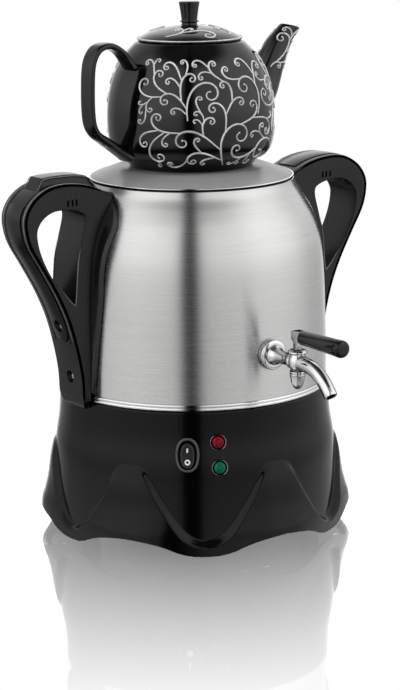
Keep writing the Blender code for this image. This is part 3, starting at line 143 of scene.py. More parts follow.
class Wire:
    """An output socket that takes part in sums; each sum adds a Math node to its tree."""

    def __init__(self, sheet, socket):
        self.sheet = sheet
        self.socket = socket

    def of(self, name):
        """Another output of the same node."""
        return Wire(self.sheet, self.socket.node.outputs[name])

    def math(self, operation, *values, clamp=False):
        settings = {"operation": operation, "use_clamp": clamp}
        return self.sheet.node("ShaderNodeMath", settings, dict(enumerate(values)))

    def __add__(self, other):
        return self.math("ADD", self, other)

    __radd__ = __add__

    def __sub__(self, other):
        return self.math("SUBTRACT", self, other)

    def __rsub__(self, other):
        return self.math("SUBTRACT", other, self)

    def __mul__(self, other):
        return self.math("MULTIPLY", self, other)

    __rmul__ = __mul__

    def __truediv__(self, other):
        return self.math("DIVIDE", self, other)

    def __pow__(self, other):
        return self.math("POWER", self, other)

    def clamped(self):
        return self.math("ADD", self, 0.0, clamp=True)

    def smooth(self, low, high):
        """0 below low, 1 above high, and a smooth step between."""
        share = ((self - low) / (high - low)).clamped()
        return share * share * (3 - 2 * share)


class Sheet:
    """The node tree of a material, a world or a shape."""

    def __init__(self, tree):
        self.tree = tree

    def node(self, kind, settings=None, values=None, output=0):
        made = self.tree.nodes.new(kind)
        for name, value in (settings or {}).items():
            if name == "stops":
                self.set_stops(made.color_ramp, value)
            elif name == "curve":
                self.set_curve(made.mapping, value)
            else:
                setattr(made, name, value)
        for name, value in (values or {}).items():
            socket = made.inputs[name]
            if isinstance(value, Wire):
                self.tree.links.new(value.socket, socket)
            else:
                socket.default_value = value
        return Wire(self, made.outputs[output])

    @staticmethod
    def set_stops(ramp, stops):
        while len(ramp.elements) < len(stops):
            ramp.elements.new(1.0)
        for element, (place, shade) in zip(ramp.elements, stops):
            element.position = place
            element.color = (*shade, 1.0) if len(shade) == 3 else shade

    @staticmethod
    def set_curve(mapping, points):
        curve = mapping.curves[0]
        while len(curve.points) < len(points):
            curve.points.new(0.5, 0.5)
        for point, (place, value) in zip(curve.points, points):
            point.location = (place, value)
        mapping.update()

    def vector(self, operation, *values, output=0):
        return self.node("ShaderNodeVectorMath", {"operation": operation}, dict(enumerate(values)), output)

    def blend(self, factor, low, high):
        """A colour between two others."""
        values = {0: factor, 6: solid_colour(low), 7: solid_colour(high)}
        return self.node("ShaderNodeMix", {"data_type": "RGBA", "clamp_factor": True}, values, 2)

    def noise(self, place, scale, detail, roughness=0.5):
        values = {"Vector": place, "Scale": scale, "Detail": detail, "Roughness": roughness}
        return self.node("ShaderNodeTexNoise", None, values, "Fac")


def solid_colour(value):
    return value if isinstance(value, Wire) or len(value) == 4 else (*value, 1.0)


class Finish:
    """A Principled material; surface detail is added to it socket by socket."""

    def __init__(self, name, tint, roughness, metallic=0.0, **fixed):
        self.made = bpy.data.materials.new(name)
        self.made.use_nodes = True
        self.made.diffuse_color = (*tint, 1.0)
        self.sheet = Sheet(self.made.node_tree)
        self.shader = self.made.node_tree.nodes["Principled BSDF"]
        self.set("Base Color", (*tint, 1.0))
        self.set("Roughness", roughness)
        self.set("Metallic", metallic)
        for socket, value in fixed.items():
            self.set(socket.replace("_", " ").title().replace("Ior", "IOR"), value)

    def set(self, socket, value):
        if isinstance(value, Wire):
            self.made.node_tree.links.new(value.socket, self.shader.inputs[socket])
        else:
            self.shader.inputs[socket].default_value = value

    def place(self, stretch=(1.0, 1.0, 1.0)):
        """Object coordinates measured from the urn's axis, stretched along each direction."""
        values = {"Vector": self.sheet.node("ShaderNodeTexCoord", output="Object"), "Scale": stretch,
                  "Location": tuple(-value * factor for value, factor in zip(axis_place, stretch))}
        return self.sheet.node("ShaderNodeMapping", None, values)

    def finish(self, colour_map, roughness, height, distance, strength):
        """Link the colour, the roughness and the bump, and give back the material."""
        values = {"Height": height, "Distance": distance, "Strength": strength}
        self.set("Base Color", colour_map)
        self.set("Roughness", roughness)
        self.set("Normal", self.sheet.node("ShaderNodeBump", None, values))
        return self.made


# Finishes

def toned(tint, factor, lift=0.0):
    """A colour made lighter or darker, and lifted a little from black."""
    return tuple(part * factor + lift for part in tint)


def brushed_steel(name, tint, roughness=0.27, metallic=1.0, edge=1.0):
    """Stainless steel with fine lines brushed round it; a matt finish spreads some of its light."""
    made = Finish(name, tint, roughness, metallic, anisotropic=0.8, anisotropic_rotation=0.25,
                  specular_tint=(edge, edge, edge, 1.0))
    sheet = made.sheet
    fine = sheet.noise(made.place((9.0, 9.0, 2600.0)), 1.0, 4.0, 0.6)
    strokes = sheet.noise(made.place((26.0, 26.0, 900.0)), 1.0, 3.0, 0.55)
    clouds = sheet.noise(made.place(), 16.0, 2.0)
    lines = fine * 0.6 + strokes * 0.4
    bright = tuple(min(part, 1.0) for part in toned(tint, 1.04))
    return made.finish(sheet.blend(lines.smooth(0.32, 0.68), toned(tint, 0.94), bright),
                       (roughness - 0.05) + lines * 0.08 + clouds * 0.03, lines, 0.00002, 0.4)


def polished_metal(name, tint, roughness, edge=1.0):
    """Plated metal with faint swirls left by the polishing wheel, and with darker edges if asked."""
    made = Finish(name, tint, roughness, 1.0, specular_tint=(edge, edge, edge, 1.0))
    sheet = made.sheet
    swirls = sheet.noise(made.place((60.0, 60.0, 240.0)), 1.0, 4.0, 0.6)
    smears = sheet.noise(made.place(), 55.0, 2.0)
    return made.finish(sheet.blend(smears.smooth(0.35, 0.7), tint, toned(tint, 0.94)),
                       (roughness - 0.02) + swirls * 0.05 + smears.smooth(0.55, 0.75) * 0.05,
                       swirls, 0.00002, 0.25)


def gloss_moulding(name, tint, roughness=0.09, shine=0.2):
    """Glossy moulded plastic: a trace of sink and ripple, and light wiping marks."""
    made = Finish(name, tint, roughness, 0.0, specular_ior_level=shine)
    sheet = made.sheet
    ripple = sheet.noise(made.place(), 28.0, 1.5)
    marks = sheet.noise(made.place((120.0, 120.0, 30.0)), 1.0, 5.0, 0.65)
    return made.finish(sheet.blend(marks.smooth(0.5, 0.8), tint, toned(tint, 1.4, 0.0006)),
                       (roughness - 0.02) + marks.smooth(0.45, 0.75) * 0.06, ripple, 0.0003, 0.2)


def painted_shade_black(name):
    """Painted shade: black without any shine, put into narrow seams and recesses where only shade falls."""
    return gloss_moulding(name, (0.0002, 0.0002, 0.0002), 0.6, 0.0)


def satin_moulding(name, tint, roughness, grain=2200.0):
    """Satin moulded plastic with a fine spark grain, a little polished where hands rub it."""
    made = Finish(name, tint, roughness, 0.0, specular_ior_level=0.34)
    sheet = made.sheet
    spark = sheet.noise(made.place(), grain, 2.0, 0.5)
    worn = sheet.noise(made.place(), 22.0, 3.0)
    return made.finish(sheet.blend(worn.smooth(0.4, 0.75), tint, toned(tint, 1.35, 0.001)),
                       (roughness - 0.05) + spark * 0.1 - worn.smooth(0.5, 0.8) * 0.05, spark, 0.00005, 0.35)


def glazed(name, tint):
    """Black glaze, deep and even, with the slight waviness of fired ware."""
    made = Finish(name, tint, 0.05, 0.0, specular_ior_level=0.46)
    sheet = made.sheet
    waves = sheet.noise(made.place(), 34.0, 1.0)
    pits = sheet.noise(made.place(), 420.0, 2.0)
    return made.finish(sheet.blend(pits.smooth(0.55, 0.8), tint, toned(tint, 1.5, 0.0008)),
                       0.09 + pits.smooth(0.6, 0.85) * 0.06, waves, 0.0004, 0.15)


def silver_line(name, tint):
    """Raised silver lines, rubbed brighter on their tops."""
    made = Finish(name, tint, 0.38, 0.6)
    sheet = made.sheet
    rub = sheet.noise(made.place(), 700.0, 3.0, 0.6)
    return made.finish(sheet.blend(rub.smooth(0.35, 0.65), toned(tint, 0.72), tint), 0.32 + rub * 0.2,
                       rub, 0.00012, 0.5)


def lens_plastic(name, tint, glow):
    """A tinted lamp lens with a fine pattern moulded in."""
    made = Finish(name, tint, 0.12, 0.0, specular_ior_level=0.12, coat_weight=0.08, coat_roughness=0.05)
    sheet = made.sheet
    cells = sheet.node("ShaderNodeTexVoronoi", {"feature": "F1"}, {"Vector": made.place(), "Scale": 900.0},
                       "Distance")
    made.set("Emission Color", (*tint, 1.0))
    made.set("Emission Strength", glow)
    return made.finish(sheet.blend(cells.smooth(0.1, 0.6), tint, toned(tint, 0.45)), 0.1 + cells * 0.1,
                       cells, 0.0001, 0.4)


def plain_finish(name, tint, roughness, metallic, scale):
    """A quiet finish with slight unevenness, for pieces that mostly lie inside."""
    made = Finish(name, tint, roughness, metallic)
    sheet = made.sheet
    mottle = sheet.noise(made.place(), scale, 4.0, 0.6)
    return made.finish(sheet.blend(mottle.smooth(0.3, 0.7), toned(tint, 0.8), tint),
                       (roughness - 0.06) + mottle * 0.14, mottle, 0.0001, 0.35)


# Shapes

CLOSE = 0.0000005
SMOOTH = 35.0
OVAL_POWER = 2.35


def mix(low, high, share):
    return low + (high - low) * share


def angles(steps, offset=0.0):
    """Angles that share out a full turn."""
    return [2 * pi * (step + offset) / steps for step in range(steps)]


def heading(path, index):
    """The direction of a path at one of its points."""
    return (path[min(index + 1, len(path) - 1)] - path[max(index - 1, 0)]).normalized()


def run_lengths(path):
    """How far along a path each of its points lies."""
    lengths = [0.0]
    for before, after in zip(path, path[1:]):
        lengths.append(lengths[-1] + (after - before).length)
    return lengths


def read_table(rows, place):
    """The value of a table of pairs at a place, in straight steps."""
    if place <= rows[0][0]:
        return rows[0][1]
    for (start, low), (end, high) in zip(rows, rows[1:]):
        if place <= end:
            return mix(low, high, (place - start) / (end - start))
    return rows[-1][1]


def turned(reach, angle, height):
    """A point at an angle in radians round the axis, from the tap's side towards +X."""
    return Vector((sin(angle) * reach, -cos(angle) * reach, height))


def smooth_curve(points, steps, closed=False):
    """Points on a smooth curve through the given ones."""
    count = len(points)
    made = []
    for index in range(count if closed else count - 1):
        spots = [index + offset for offset in (-1, 0, 1, 2)]
        spots = [spot % count if closed else min(max(spot, 0), count - 1) for spot in spots]
        before, start, end, after = (Vector(points[spot]) for spot in spots)
        for step in range(steps):
            share = step / steps
            made.append(0.5 * (2 * start + (end - before) * share
                               + (2 * before - 5 * start + 4 * end - after) * share ** 2
                               + (3 * start - before - 3 * end + after) * share ** 3))
    if not closed:
        made.append(Vector(points[-1]))
    return made


def rounded(points, radius, steps=4):
    """Round the corners of a closed section; points on the axis stay."""
    made = []
    for index, point in enumerate(points):
        here = Vector(point)
        before = Vector(points[index - 1]) - here
        after = Vector(points[(index + 1) % len(points)]) - here
        if here.x == 0.0 or before.length * after.length == 0.0:
            made.append(here)
            continue
        cut = min(radius, before.length * 0.48, after.length * 0.48)
        start = here + before.normalized() * cut
        end = here + after.normalized() * cut
        for step in range(steps + 1):
            share = step / steps
            made.append(start * (1 - share) ** 2 + here * 2 * share * (1 - share) + end * share ** 2)
    return made


def skin(rings, along=False, caps=True):
    """Join a list of rings with the same number of points."""
    shape = bmesh.new()
    rows = [[shape.verts.new(point) for point in ring] for ring in rings]
    pairs = list(zip(rows, rows[1:])) + ([(rows[-1], rows[0])] if along else [])
    for low, high in pairs:
        for index in range(len(low)):
            after = (index + 1) % len(low)
            shape.faces.new((low[index], low[after], high[after], high[index]))
    if caps and not along:
        shape.faces.new(rows[0])
        shape.faces.new(rows[-1])
    return shape


def lathe(section, steps):
    """Turn a closed section of (radius, height) points about Z."""
    shape = bmesh.new()
    rings = [[shape.verts.new(turned(radius, angle, height)) for angle in angles(steps if radius > 0 else 1)]
             for radius, height in section]
    for low, high in zip(rings, rings[1:] + rings[:1]):
        for step in range(steps):
            after = (step + 1) % steps
            corners = (low[step % len(low)], low[after % len(low)], high[after % len(high)],
                       high[step % len(high)])
            face = list(dict.fromkeys(corners))
            if len(face) > 2:
                shape.faces.new(face)
    return shape


def bead(points, radius, across, sides=10, taper=0.0):
    """A thin tube along a line of points that lies in a plane at right angles to a direction."""
    rings = []
    last = len(points) - 1
    for index, point in enumerate(points):
        outward = heading(points, index).cross(across).normalized()
        reach = radius * (min(min(index, last - index) / taper + 0.15, 1.0) if taper else 1.0)
        rings.append([tuple(point + (outward * cos(angle) + across * sin(angle)) * reach)
                      for angle in angles(sides)])
    return skin(rings)


def fill_loops(shape, loops):
    """Fill between an outer loop of points and the holes in it."""
    edges = []
    for loop in loops:
        for ends in zip([loop[-1], *loop], loop):
            edges.append(shape.edges.get(ends) or shape.edges.new(ends))
    bmesh.ops.triangle_fill(shape, edges=edges, use_beauty=True)


def bridge(shape, low, high):
    """Faces between two closed loops with the same number of points."""
    for index in range(len(low)):
        shape.faces.new((low[index - 1], low[index], high[index], high[index - 1]))


def prism(outline, axis, low, high, holes=()):
    """Push a flat outline, given in the other two axes, along one axis."""
    shape = bmesh.new()

    def corner(first, second, place):
        return {"x": (place, first, second), "y": (first, place, second), "z": (first, second, place)}[axis]

    loops = [[[shape.verts.new(corner(*point, place)) for point in loop] for loop in (outline, *holes)]
             for place in (low, high)]
    for lower, upper in zip(*loops):
        bridge(shape, lower, upper)
    for side in loops:
        fill_loops(shape, side)
    return shape


def stadium(width, height, steps):
    """A rectangle with round ends."""
    radius = min(width, height) / 2
    spread_x, spread_y = width / 2 - radius, height / 2 - radius
    return [(radius * cos(angle) + copysign(spread_x, cos(angle)),
             radius * sin(angle) + copysign(spread_y, sin(angle))) for angle in angles(4 * steps, 0.5)]


def oval(width, height):
    """An outline between an ellipse and a rectangle."""
    return [(copysign(width / 2 * abs(cos(angle)) ** (2 / OVAL_POWER), cos(angle)),
             copysign(height / 2 * abs(sin(angle)) ** (2 / OVAL_POWER), sin(angle)))
            for angle in angles(56, 0.5)]


def rectangle(width, height, low_first=0.0, low_second=0.0):
    return [(low_first + first * width / 2, low_second + second * height / 2)
            for first, second in ((-1, -1), (1, -1), (1, 1), (-1, 1))]


def circle(radius, steps):
    return [(radius * cos(angle), radius * sin(angle)) for angle in angles(steps)]


def move(shape, matrix):
    bmesh.ops.transform(shape, matrix=matrix, verts=shape.verts)
    return shape


def forwards(shape, height):
    """Lay a shape made about Z along -Y, at a height."""
    return move(shape, Matrix.Translation((0, 0, height)) @ Matrix.Rotation(pi / 2, 4, "X"))


def join(*shapes):
    """Put several shapes in one."""
    whole = bmesh.new()
    for shape in shapes:
        spare = bpy.data.meshes.new("spare")
        shape.to_mesh(spare)
        shape.free()
        whole.from_mesh(spare)
        bpy.data.meshes.remove(spare)
    return whole


def new_object(name, data):
    made = bpy.data.objects.new(name, data)
    bpy.context.scene.collection.objects.link(made)
    return made


def solid(name, shape, smooth=SMOOTH):
    """An object from a shape drawn about the urn's axis, with its faces outwards."""
    bmesh.ops.remove_doubles(shape, verts=shape.verts, dist=CLOSE)
    bmesh.ops.recalc_face_normals(shape, faces=shape.faces)
    bmesh.ops.translate(shape, verts=shape.verts, vec=axis_place)
    mesh = bpy.data.meshes.new(name)
    shape.to_mesh(mesh)
    shape.free()
    made = new_object(name, mesh)
    shade(made, smooth)
    return made


def shade(made, smooth):
    made.data.shade_smooth()
    made.data.set_sharp_from_angle(angle=radians(smooth))


def settle(made, smooth):
    """Give an object the mesh that its modifiers make, and drop the modifiers."""
    bpy.context.view_layer.update()
    graph = bpy.context.evaluated_depsgraph_get()
    mesh = bpy.data.meshes.new_from_object(made.evaluated_get(graph), depsgraph=graph)
    made.modifiers.clear()
    if made.type == "MESH":
        made.data = mesh
    else:
        name = made.name
        bpy.data.objects.remove(made)
        made = new_object(name, mesh)
    mesh.name = made.name
    shade(made, smooth)
    return made


def cut(made, tool, operation="DIFFERENCE", smooth=SMOOTH):
    """Cut a tool out of an object, join it on or keep what both share; the tool is used up."""
    step = made.modifiers.new("cut", "BOOLEAN")
    step.operation = operation
    step.object = tool
    step.solver = "EXACT"
    made = settle(made, smooth)
    bpy.data.objects.remove(tool)
    return made


def soften(made, width, segments=3, angle=50.0):
    """Round the sharp edges of an object."""
    step = made.modifiers.new("soften", "BEVEL")
    step.width = width
    step.segments = segments
    step.limit_method = "ANGLE"
    step.angle_limit = radians(angle)
    step.use_clamp_overlap = True
    return settle(made, SMOOTH)


def paint(mesh, look):
    mesh.materials.clear()
    mesh.materials.append(look)
    mesh.polygons.foreach_set("material_index", [0] * len(mesh.polygons))


def dress(made, look, body, slot, *nodes):
    """Give a finished piece its material and its body, and hide the nodes that it stands for; the slot is not
    used.
    """
    paint(made.data, look)
    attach(made, body)
    if nodes:
        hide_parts(*nodes)
    return made


def piece(name, shape, look, body, slot, smooth=SMOOTH):
    """A finished piece, which stands for the CAD node of its own name where there is one."""
    nodes = [name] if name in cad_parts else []
    return dress(solid(name, shape, smooth), look, body, slot, *nodes)


def vectors(*points):
    return [Vector(point) for point in points]


def tuples(points):
    return [tuple(point) for point in points]


def mesh_shape(made):
    """The shape of an object, which is used up."""
    shape = bmesh.new()
    shape.from_mesh(made.data)
    bpy.data.objects.remove(made)
    return shape


# Shapes made by Geometry Nodes

class Recipe(Sheet):
    """A Geometry Nodes tree with named inputs."""

    def __init__(self, name, **inputs):
        tree = bpy.data.node_groups.new(name, "GeometryNodeTree")
        super().__init__(tree)
        tree.interface.new_socket("Geometry", in_out="INPUT", socket_type="NodeSocketGeometry")
        tree.interface.new_socket("Geometry", in_out="OUTPUT", socket_type="NodeSocketGeometry")
        kinds = {float: "NodeSocketFloat", int: "NodeSocketInt"}
        self.inputs = {}
        for label, value in inputs.items():
            socket = tree.interface.new_socket(label.replace("_", " "), in_out="INPUT",
                                               socket_type=kinds[type(value)])
            socket.default_value = value
            self.inputs[label] = socket.identifier
        look = tree.interface.new_socket("Look", in_out="INPUT", socket_type="NodeSocketMaterial")
        self.inputs["look"] = look.identifier
        self.values = inputs
        self.entry = self.tree.nodes.new("NodeGroupInput")

    def given(self, label):
        return Wire(self, self.entry.outputs[label])

    def make(self, kind, **values):
        """A geometry node whose inputs are named in the call."""
        values = {name.replace("_", " "): value for name, value in values.items()}
        return self.node("GeometryNode" + kind, None, values)

    def vector_of(self, *parts):
        return self.node("ShaderNodeCombineXYZ", None, dict(enumerate(parts)))

    def both(self, first, second):
        joined = self.node("GeometryNodeJoinGeometry", None, {0: first})
        self.tree.links.new(second.socket, joined.socket.node.inputs[0])
        return joined

    def finish(self, geometry):
        smooth = self.make("SetShadeSmooth", Geometry=self.make("RealizeInstances", Geometry=geometry))
        dressed = self.make("SetMaterial", Geometry=smooth, Material=self.given("Look"))
        out = self.tree.nodes.new("NodeGroupOutput")
        self.tree.links.new(dressed.socket, out.inputs[0])

    def run(self, made, look, smooth=SMOOTH):
        """Put the tree on an object and keep the mesh that it makes."""
        step = made.modifiers.new("recipe", "NODES")
        step.node_group = self.tree
        for label, value in self.values.items():
            step[self.inputs[label]] = value
        step[self.inputs["look"]] = look
        return settle(made, smooth)


def seed_object(name, points=(), facings=()):
    """A mesh of loose points, each facing its own way, for a recipe to start from."""
    mesh = bpy.data.meshes.new(name)
    mesh.from_pydata([Vector(point) + axis_place for point in points], [], [])
    if facings:
        facing = mesh.attributes.new("facing", "FLOAT_VECTOR", "POINT")
        facing.data.foreach_set("vector", [value for vector in facings for value in vector])
    return new_object(name, mesh)


def screw_recipe(head_radius, head_height, shank_radius, shank_length):
    """Cross-head screws, one at each point, each with its head towards its facing."""
    recipe = Recipe("cross head screws", Head_radius=head_radius, Head_height=head_height,
                    Shank_radius=shank_radius, Shank_length=shank_length)
    radius, height = recipe.given("Head radius"), recipe.given("Head height")
    long = recipe.given("Shank length")
    ball = recipe.make("MeshUVSphere", Segments=32, Rings=16, Radius=radius)
    head = recipe.make("Transform", Geometry=ball, Scale=recipe.vector_of(1.0, 1.0, height / radius))
    across = recipe.make("MeshCube", Size=recipe.vector_of(radius * 1.15, radius * 0.24, height))
    first = recipe.make("Transform", Geometry=across, Translation=recipe.vector_of(0.0, 0.0, height))
    second = recipe.make("Transform", Geometry=first, Rotation=(0.0, 0.0, pi / 2))
    below = recipe.make("MeshCube", Size=recipe.vector_of(radius * 4, radius * 4, height * 4))
    under = recipe.make("Transform", Geometry=below, Translation=recipe.vector_of(0.0, 0.0, height * -2))
    for tool in (first, second, under):
        head = recipe.node("GeometryNodeMeshBoolean", {"operation": "DIFFERENCE", "solver": "EXACT"},
                           {"Mesh 1": head, "Mesh 2": tool})
    shank = recipe.make("MeshCylinder", Vertices=24, Radius=recipe.given("Shank radius"), Depth=long)
    shank = recipe.make("Transform", Geometry=shank, Translation=recipe.vector_of(0.0, 0.0, long * -0.5))
    facing = recipe.node("GeometryNodeInputNamedAttribute", {"data_type": "FLOAT_VECTOR"}, {"Name": "facing"})
    aim = recipe.node("FunctionNodeAlignRotationToVector", {"axis": "Z"}, {"Vector": facing})
    recipe.finish(recipe.make("InstanceOnPoints", Points=recipe.given("Geometry"), Rotation=aim,
                              Instance=recipe.both(head, shank)))
    return recipe


def foot_recipe(radius, height, peg_radius, peg_length):
    """Rubber feet with a peg, one at each point."""
    recipe = Recipe("rubber feet", Radius=radius, Height=height, Peg_radius=peg_radius, Peg_length=peg_length)
    wide, tall, long = recipe.given("Radius"), recipe.given("Height"), recipe.given("Peg length")
    pad = recipe.make("MeshCone", Vertices=40, Radius_Top=wide, Radius_Bottom=wide * 0.94, Depth=tall)
    peg = recipe.make("MeshCylinder", Vertices=24, Radius=recipe.given("Peg radius"), Depth=long)
    peg = recipe.make("Transform", Geometry=peg, Translation=recipe.vector_of(0.0, 0.0, (tall + long) * 0.5))
    foot = recipe.both(pad, peg)
    recipe.finish(recipe.make("InstanceOnPoints", Points=recipe.given("Geometry"), Instance=foot))
    return recipe


def line_recipe(half_width, ball):
    """Raised lines along curves, each as wide as its points say, with a ball at its curled end."""
    recipe = Recipe("raised lines", Half_width=half_width, Ball=ball)
    curves = recipe.given("Geometry")
    section = recipe.make("CurvePrimitiveCircle", Resolution=6, Radius=recipe.given("Half width"))
    wires = recipe.make("CurveToMesh", Curve=curves, Profile_Curve=section, Scale=recipe.make("InputRadius"),
                        Fill_Caps=True)
    end = recipe.make("CurveEndpointSelection", Start_Size=0, End_Size=1)
    dot = recipe.make("MeshUVSphere", Segments=8, Rings=6, Radius=recipe.given("Ball"))
    dots = recipe.make("InstanceOnPoints", Points=curves, Selection=end, Instance=dot)
    recipe.finish(recipe.both(wires, dots))
    return recipe


# How the base housing's radius falls with height, and how its ridge and its lower edge fall from the middle
# of a petal to the gap beside it

CORE_FLARE = ((0.0, 1.0), (0.21, 0.93), (0.42, 0.79), (0.56, 0.7), (0.92, 0.0), (1.0, 0.0))
PETAL_FLARE = ((0.0, 0.99), (0.07, 1.0), (0.14, 0.99), (0.25, 0.81), (0.34, 0.67), (0.49, 0.52), (0.63, 0.31),
               (1.0, 0.0))
RIDGE_RISE = ((0.0, 1.0), (0.17, 0.98), (0.27, 0.87), (0.4, 0.64), (0.53, 0.43), (0.64, 0.26), (0.75, 0.12),
              (0.87, 0.03), (1.0, 0.0))
EDGE_RISE = ((0.0, 1.0), (0.2, 0.92), (0.33, 0.8), (0.47, 0.61), (0.57, 0.42), (0.67, 0.22), (0.77, 0.09),
             (0.87, 0.02), (1.0, 0.0))


def ridge_steepness(sizes):
    """How much longer the way across the ridge is when measured straight down, halved to fit a curve node."""
    run = pi / sizes.petals * sizes.petal_reach
    rows = []
    for (start, high), (end, low) in zip(RIDGE_RISE, RIDGE_RISE[1:]):
        slope = (high - low) / (end - start) * (sizes.peak_height - sizes.valley_height) / run
        rows.append(((start + end) / 2, sqrt(1 + slope ** 2) / 2))
    return ((0.0, 0.5), *rows, (1.0, 0.5))


def petal_recipe(sizes):
    """The base housing's skin: a sheet wrapped round the axis, pushed out into petals below a wavy ridge."""
    recipe = Recipe("petalled base", Petals=sizes.petals, Height=sizes.height - sizes.wall / 2,
                    Top_radius=sizes.top_radius, Foot_radius=sizes.foot_radius, Petal_reach=sizes.petal_reach,
                    Foot_reach=sizes.foot_reach, Peak_height=sizes.peak_height,
                    Valley_height=sizes.valley_height, Arch_height=sizes.arch_height,
                    Tip_height=sizes.tip_height, Ridge_width=sizes.ridge_width, Columns=433, Rows=141)
    given = recipe.given
    grid = recipe.make("MeshGrid", Size_X=1.0, Size_Y=1.0, Vertices_X=given("Columns"),
                       Vertices_Y=given("Rows"))
    place = recipe.node("ShaderNodeSeparateXYZ", None, {0: recipe.make("InputPosition")})
    angle = (place + 0.5) * (2 * pi)
    level = place.of("Y") + 0.5
    swell = angle.math("COSINE", angle * given("Petals"))
    along = swell.math("ARCCOSINE", swell) / pi

    def curve(points, value):
        return recipe.node("ShaderNodeFloatCurve", {"curve": points}, {"Value": value})

    def between(low, high, share):
        return given(low) + (given(high) - given(low)) * share

    swell = curve(RIDGE_RISE, along)
    ridge = between("Valley height", "Peak height", swell)
    edge = between("Tip height", "Arch height", curve(EDGE_RISE, along))
    below = 1 - (1 - (level * 2).clamped()) ** 1.5
    height = edge + (ridge - edge) * below + (given("Height") - ridge) * (level * 2 - 1).clamped()
    share = height / sizes.height
    core = between("Top radius", "Foot radius", curve(CORE_FLARE, share))
    reach = between("Foot reach", "Petal reach", swell)
    petal = given("Top radius") + (reach - given("Top radius")) * curve(PETAL_FLARE, share)
    drop = (ridge - height) / given("Ridge width") / (curve(ridge_steepness(sizes), along) * 2)
    radius = core + (petal - core) * drop.smooth(0.0, 1.0)
    spot = recipe.vector_of(angle.math("SINE", angle) * radius, angle.math("COSINE", angle) * radius * -1,
                            height)
    wrapped = recipe.make("SetPosition", Geometry=grid, Position=spot)
    recipe.finish(recipe.make("MergeByDistance", Geometry=wrapped, Distance=0.00001))
    return recipe


# Base

def panel_radius(height, sizes):
    return mix(sizes.top_radius, sizes.foot_radius, read_table(CORE_FLARE, height / sizes.height))


def panel_place(angle, height, sizes):
    """Where a panel piece goes: drawn facing -Y at its height, then turned and leant back with the wall."""
    lean = atan2((sizes.foot_radius - sizes.top_radius) * 0.7, 0.36 * sizes.height)
    wall = panel_radius(height, sizes)
    return (Matrix.Rotation(radians(angle), 4, "Z") @ Matrix.Translation((0, -wall, height))
            @ Matrix.Rotation(-lean, 4, "X"))


SWITCH = (-36.8, 0.0848)
RED_LAMP = (-24.6, 0.0945)
GREEN_LAMP = (-24.2, 0.0743)
INLET = (150.0, 0.06)
BEZEL_WIDTH, BEZEL_HEIGHT, ROCKER_WIDTH, ROCKER_HEIGHT = 0.019, 0.0274, 0.0114, 0.02
FOOT_CIRCLE, SCREW_CIRCLE, HOUSING_MOUTH = 0.104, 0.1005, 0.098


class URN_OT_base(bpy.types.Operator):
    """Make the petalled base housing, the rubber feet and the screws under the base"""
    bl_idname = "tea_urn.base"
    bl_label = "Base"

    def execute(self, context):
        sizes = context.scene.urn_base
        self.housing(sizes, gloss_moulding("gloss black", sizes.look))
        rubber = plain_finish("black rubber", (0.018, 0.018, 0.018), 0.7, 0.0, 900.0)
        points = [turned(FOOT_CIRCLE, radians(angle), 0.002) for angle in range(30, 390, 60)]
        feet = foot_recipe(0.0075, 0.004, 0.0025, 0.006).run(seed_object("rubber_feet", points), rubber)
        dress(feet, rubber, "urn", "black_rubber", *["rubber_foot_%d" % number for number in range(1, 7)])
        zinc = plain_finish("zinc plate", (0.56, 0.55, 0.52), 0.34, 1.0, 500.0)
        points = [turned(SCREW_CIRCLE, radians(angle), 0.0176) for angle in (0, 120, 240)]
        seed = seed_object("cover_screws", points, [(0.0, 0.0, -1.0)] * 3)
        screws = screw_recipe(0.0034, 0.0018, 0.0016, 0.0118).run(seed, zinc, 30.0)
        dress(screws, zinc, "urn", "zinc_steel", "cover_screw_1", "cover_screw_2", "cover_screw_3")
        return {"FINISHED"}

    @classmethod
    def housing(cls, sizes, gloss):
        """The petalled skin with its openings and its turned-in top, given the thickness of its wall."""
        shape = mesh_shape(petal_recipe(sizes).run(seed_object("base_housing"), gloss, 60.0))
        cls.open_up(shape, sizes)
        rim = [edge for edge in shape.edges if edge.is_boundary and edge.verts[0].co.z > sizes.height * 0.9]
        for radius, height in ((sizes.top_radius - 0.0004, sizes.height - 0.0004),
                               (sizes.top_radius - 0.0012, sizes.height), (HOUSING_MOUTH, sizes.height)):
            made = bmesh.ops.extrude_edge_only(shape, edges=rim)["geom"]
            rim = [item for item in made if isinstance(item, bmesh.types.BMEdge) and item.is_boundary]
            for vert in {vert for edge in rim for vert in edge.verts}:
                flat = vert.co.xy.normalized() * radius
                vert.co = (flat.x, flat.y, height)
        shell = solid("base_housing", shape, 60.0)
        thick = shell.modifiers.new("wall", "SOLIDIFY")
        thick.thickness = sizes.wall
        thick.offset = -1.0
        dress(settle(shell, 50.0), gloss, "urn", "gloss_black", "base_housing")

    @staticmethod
    def open_up(shape, sizes):
        """Leave out the faces behind the switch and the inlet."""
        gone = []
        for (angle, height), *half in ((SWITCH, 0.0066, 0.01, 0.0112), (INLET, 0.0151, 0.01, 0.0119)):
            back = panel_place(angle, height, sizes).inverted()
            for face in shape.faces:
                spots = [back @ vert.co for vert in face.verts]
                if all(abs(part) < most for spot in spots for part, most in zip(spot, half)):
                    gone.append(face)
        bmesh.ops.delete(shape, geom=gone, context="FACES")


# Urn

URN_SIDE = ((0.0, 1.0), (0.25, 0.997), (0.5, 0.988), (0.66, 0.972), (0.76, 0.941), (0.84, 0.897),
            (0.91, 0.836), (0.965, 0.78), (1.0, 0.76))
URN_FOOT = 0.1193
FLOOR_LOW, FLOOR_HIGH, NECK_HOLE = 0.1265, 0.1275, 0.078
TRIM_TOP, TRIM_REACH, TRIM_INNER = 0.1245, 0.1115, 0.1103
LID_RIM, LID_SKIRT, LID_FLAT, LID_HOLE = 0.0836, 0.0774, 0.057, 0.024
TAP_HOLE_RADIUS, TAP_HOLE_HEIGHT = 0.0053, 0.1605
ROUND = 288


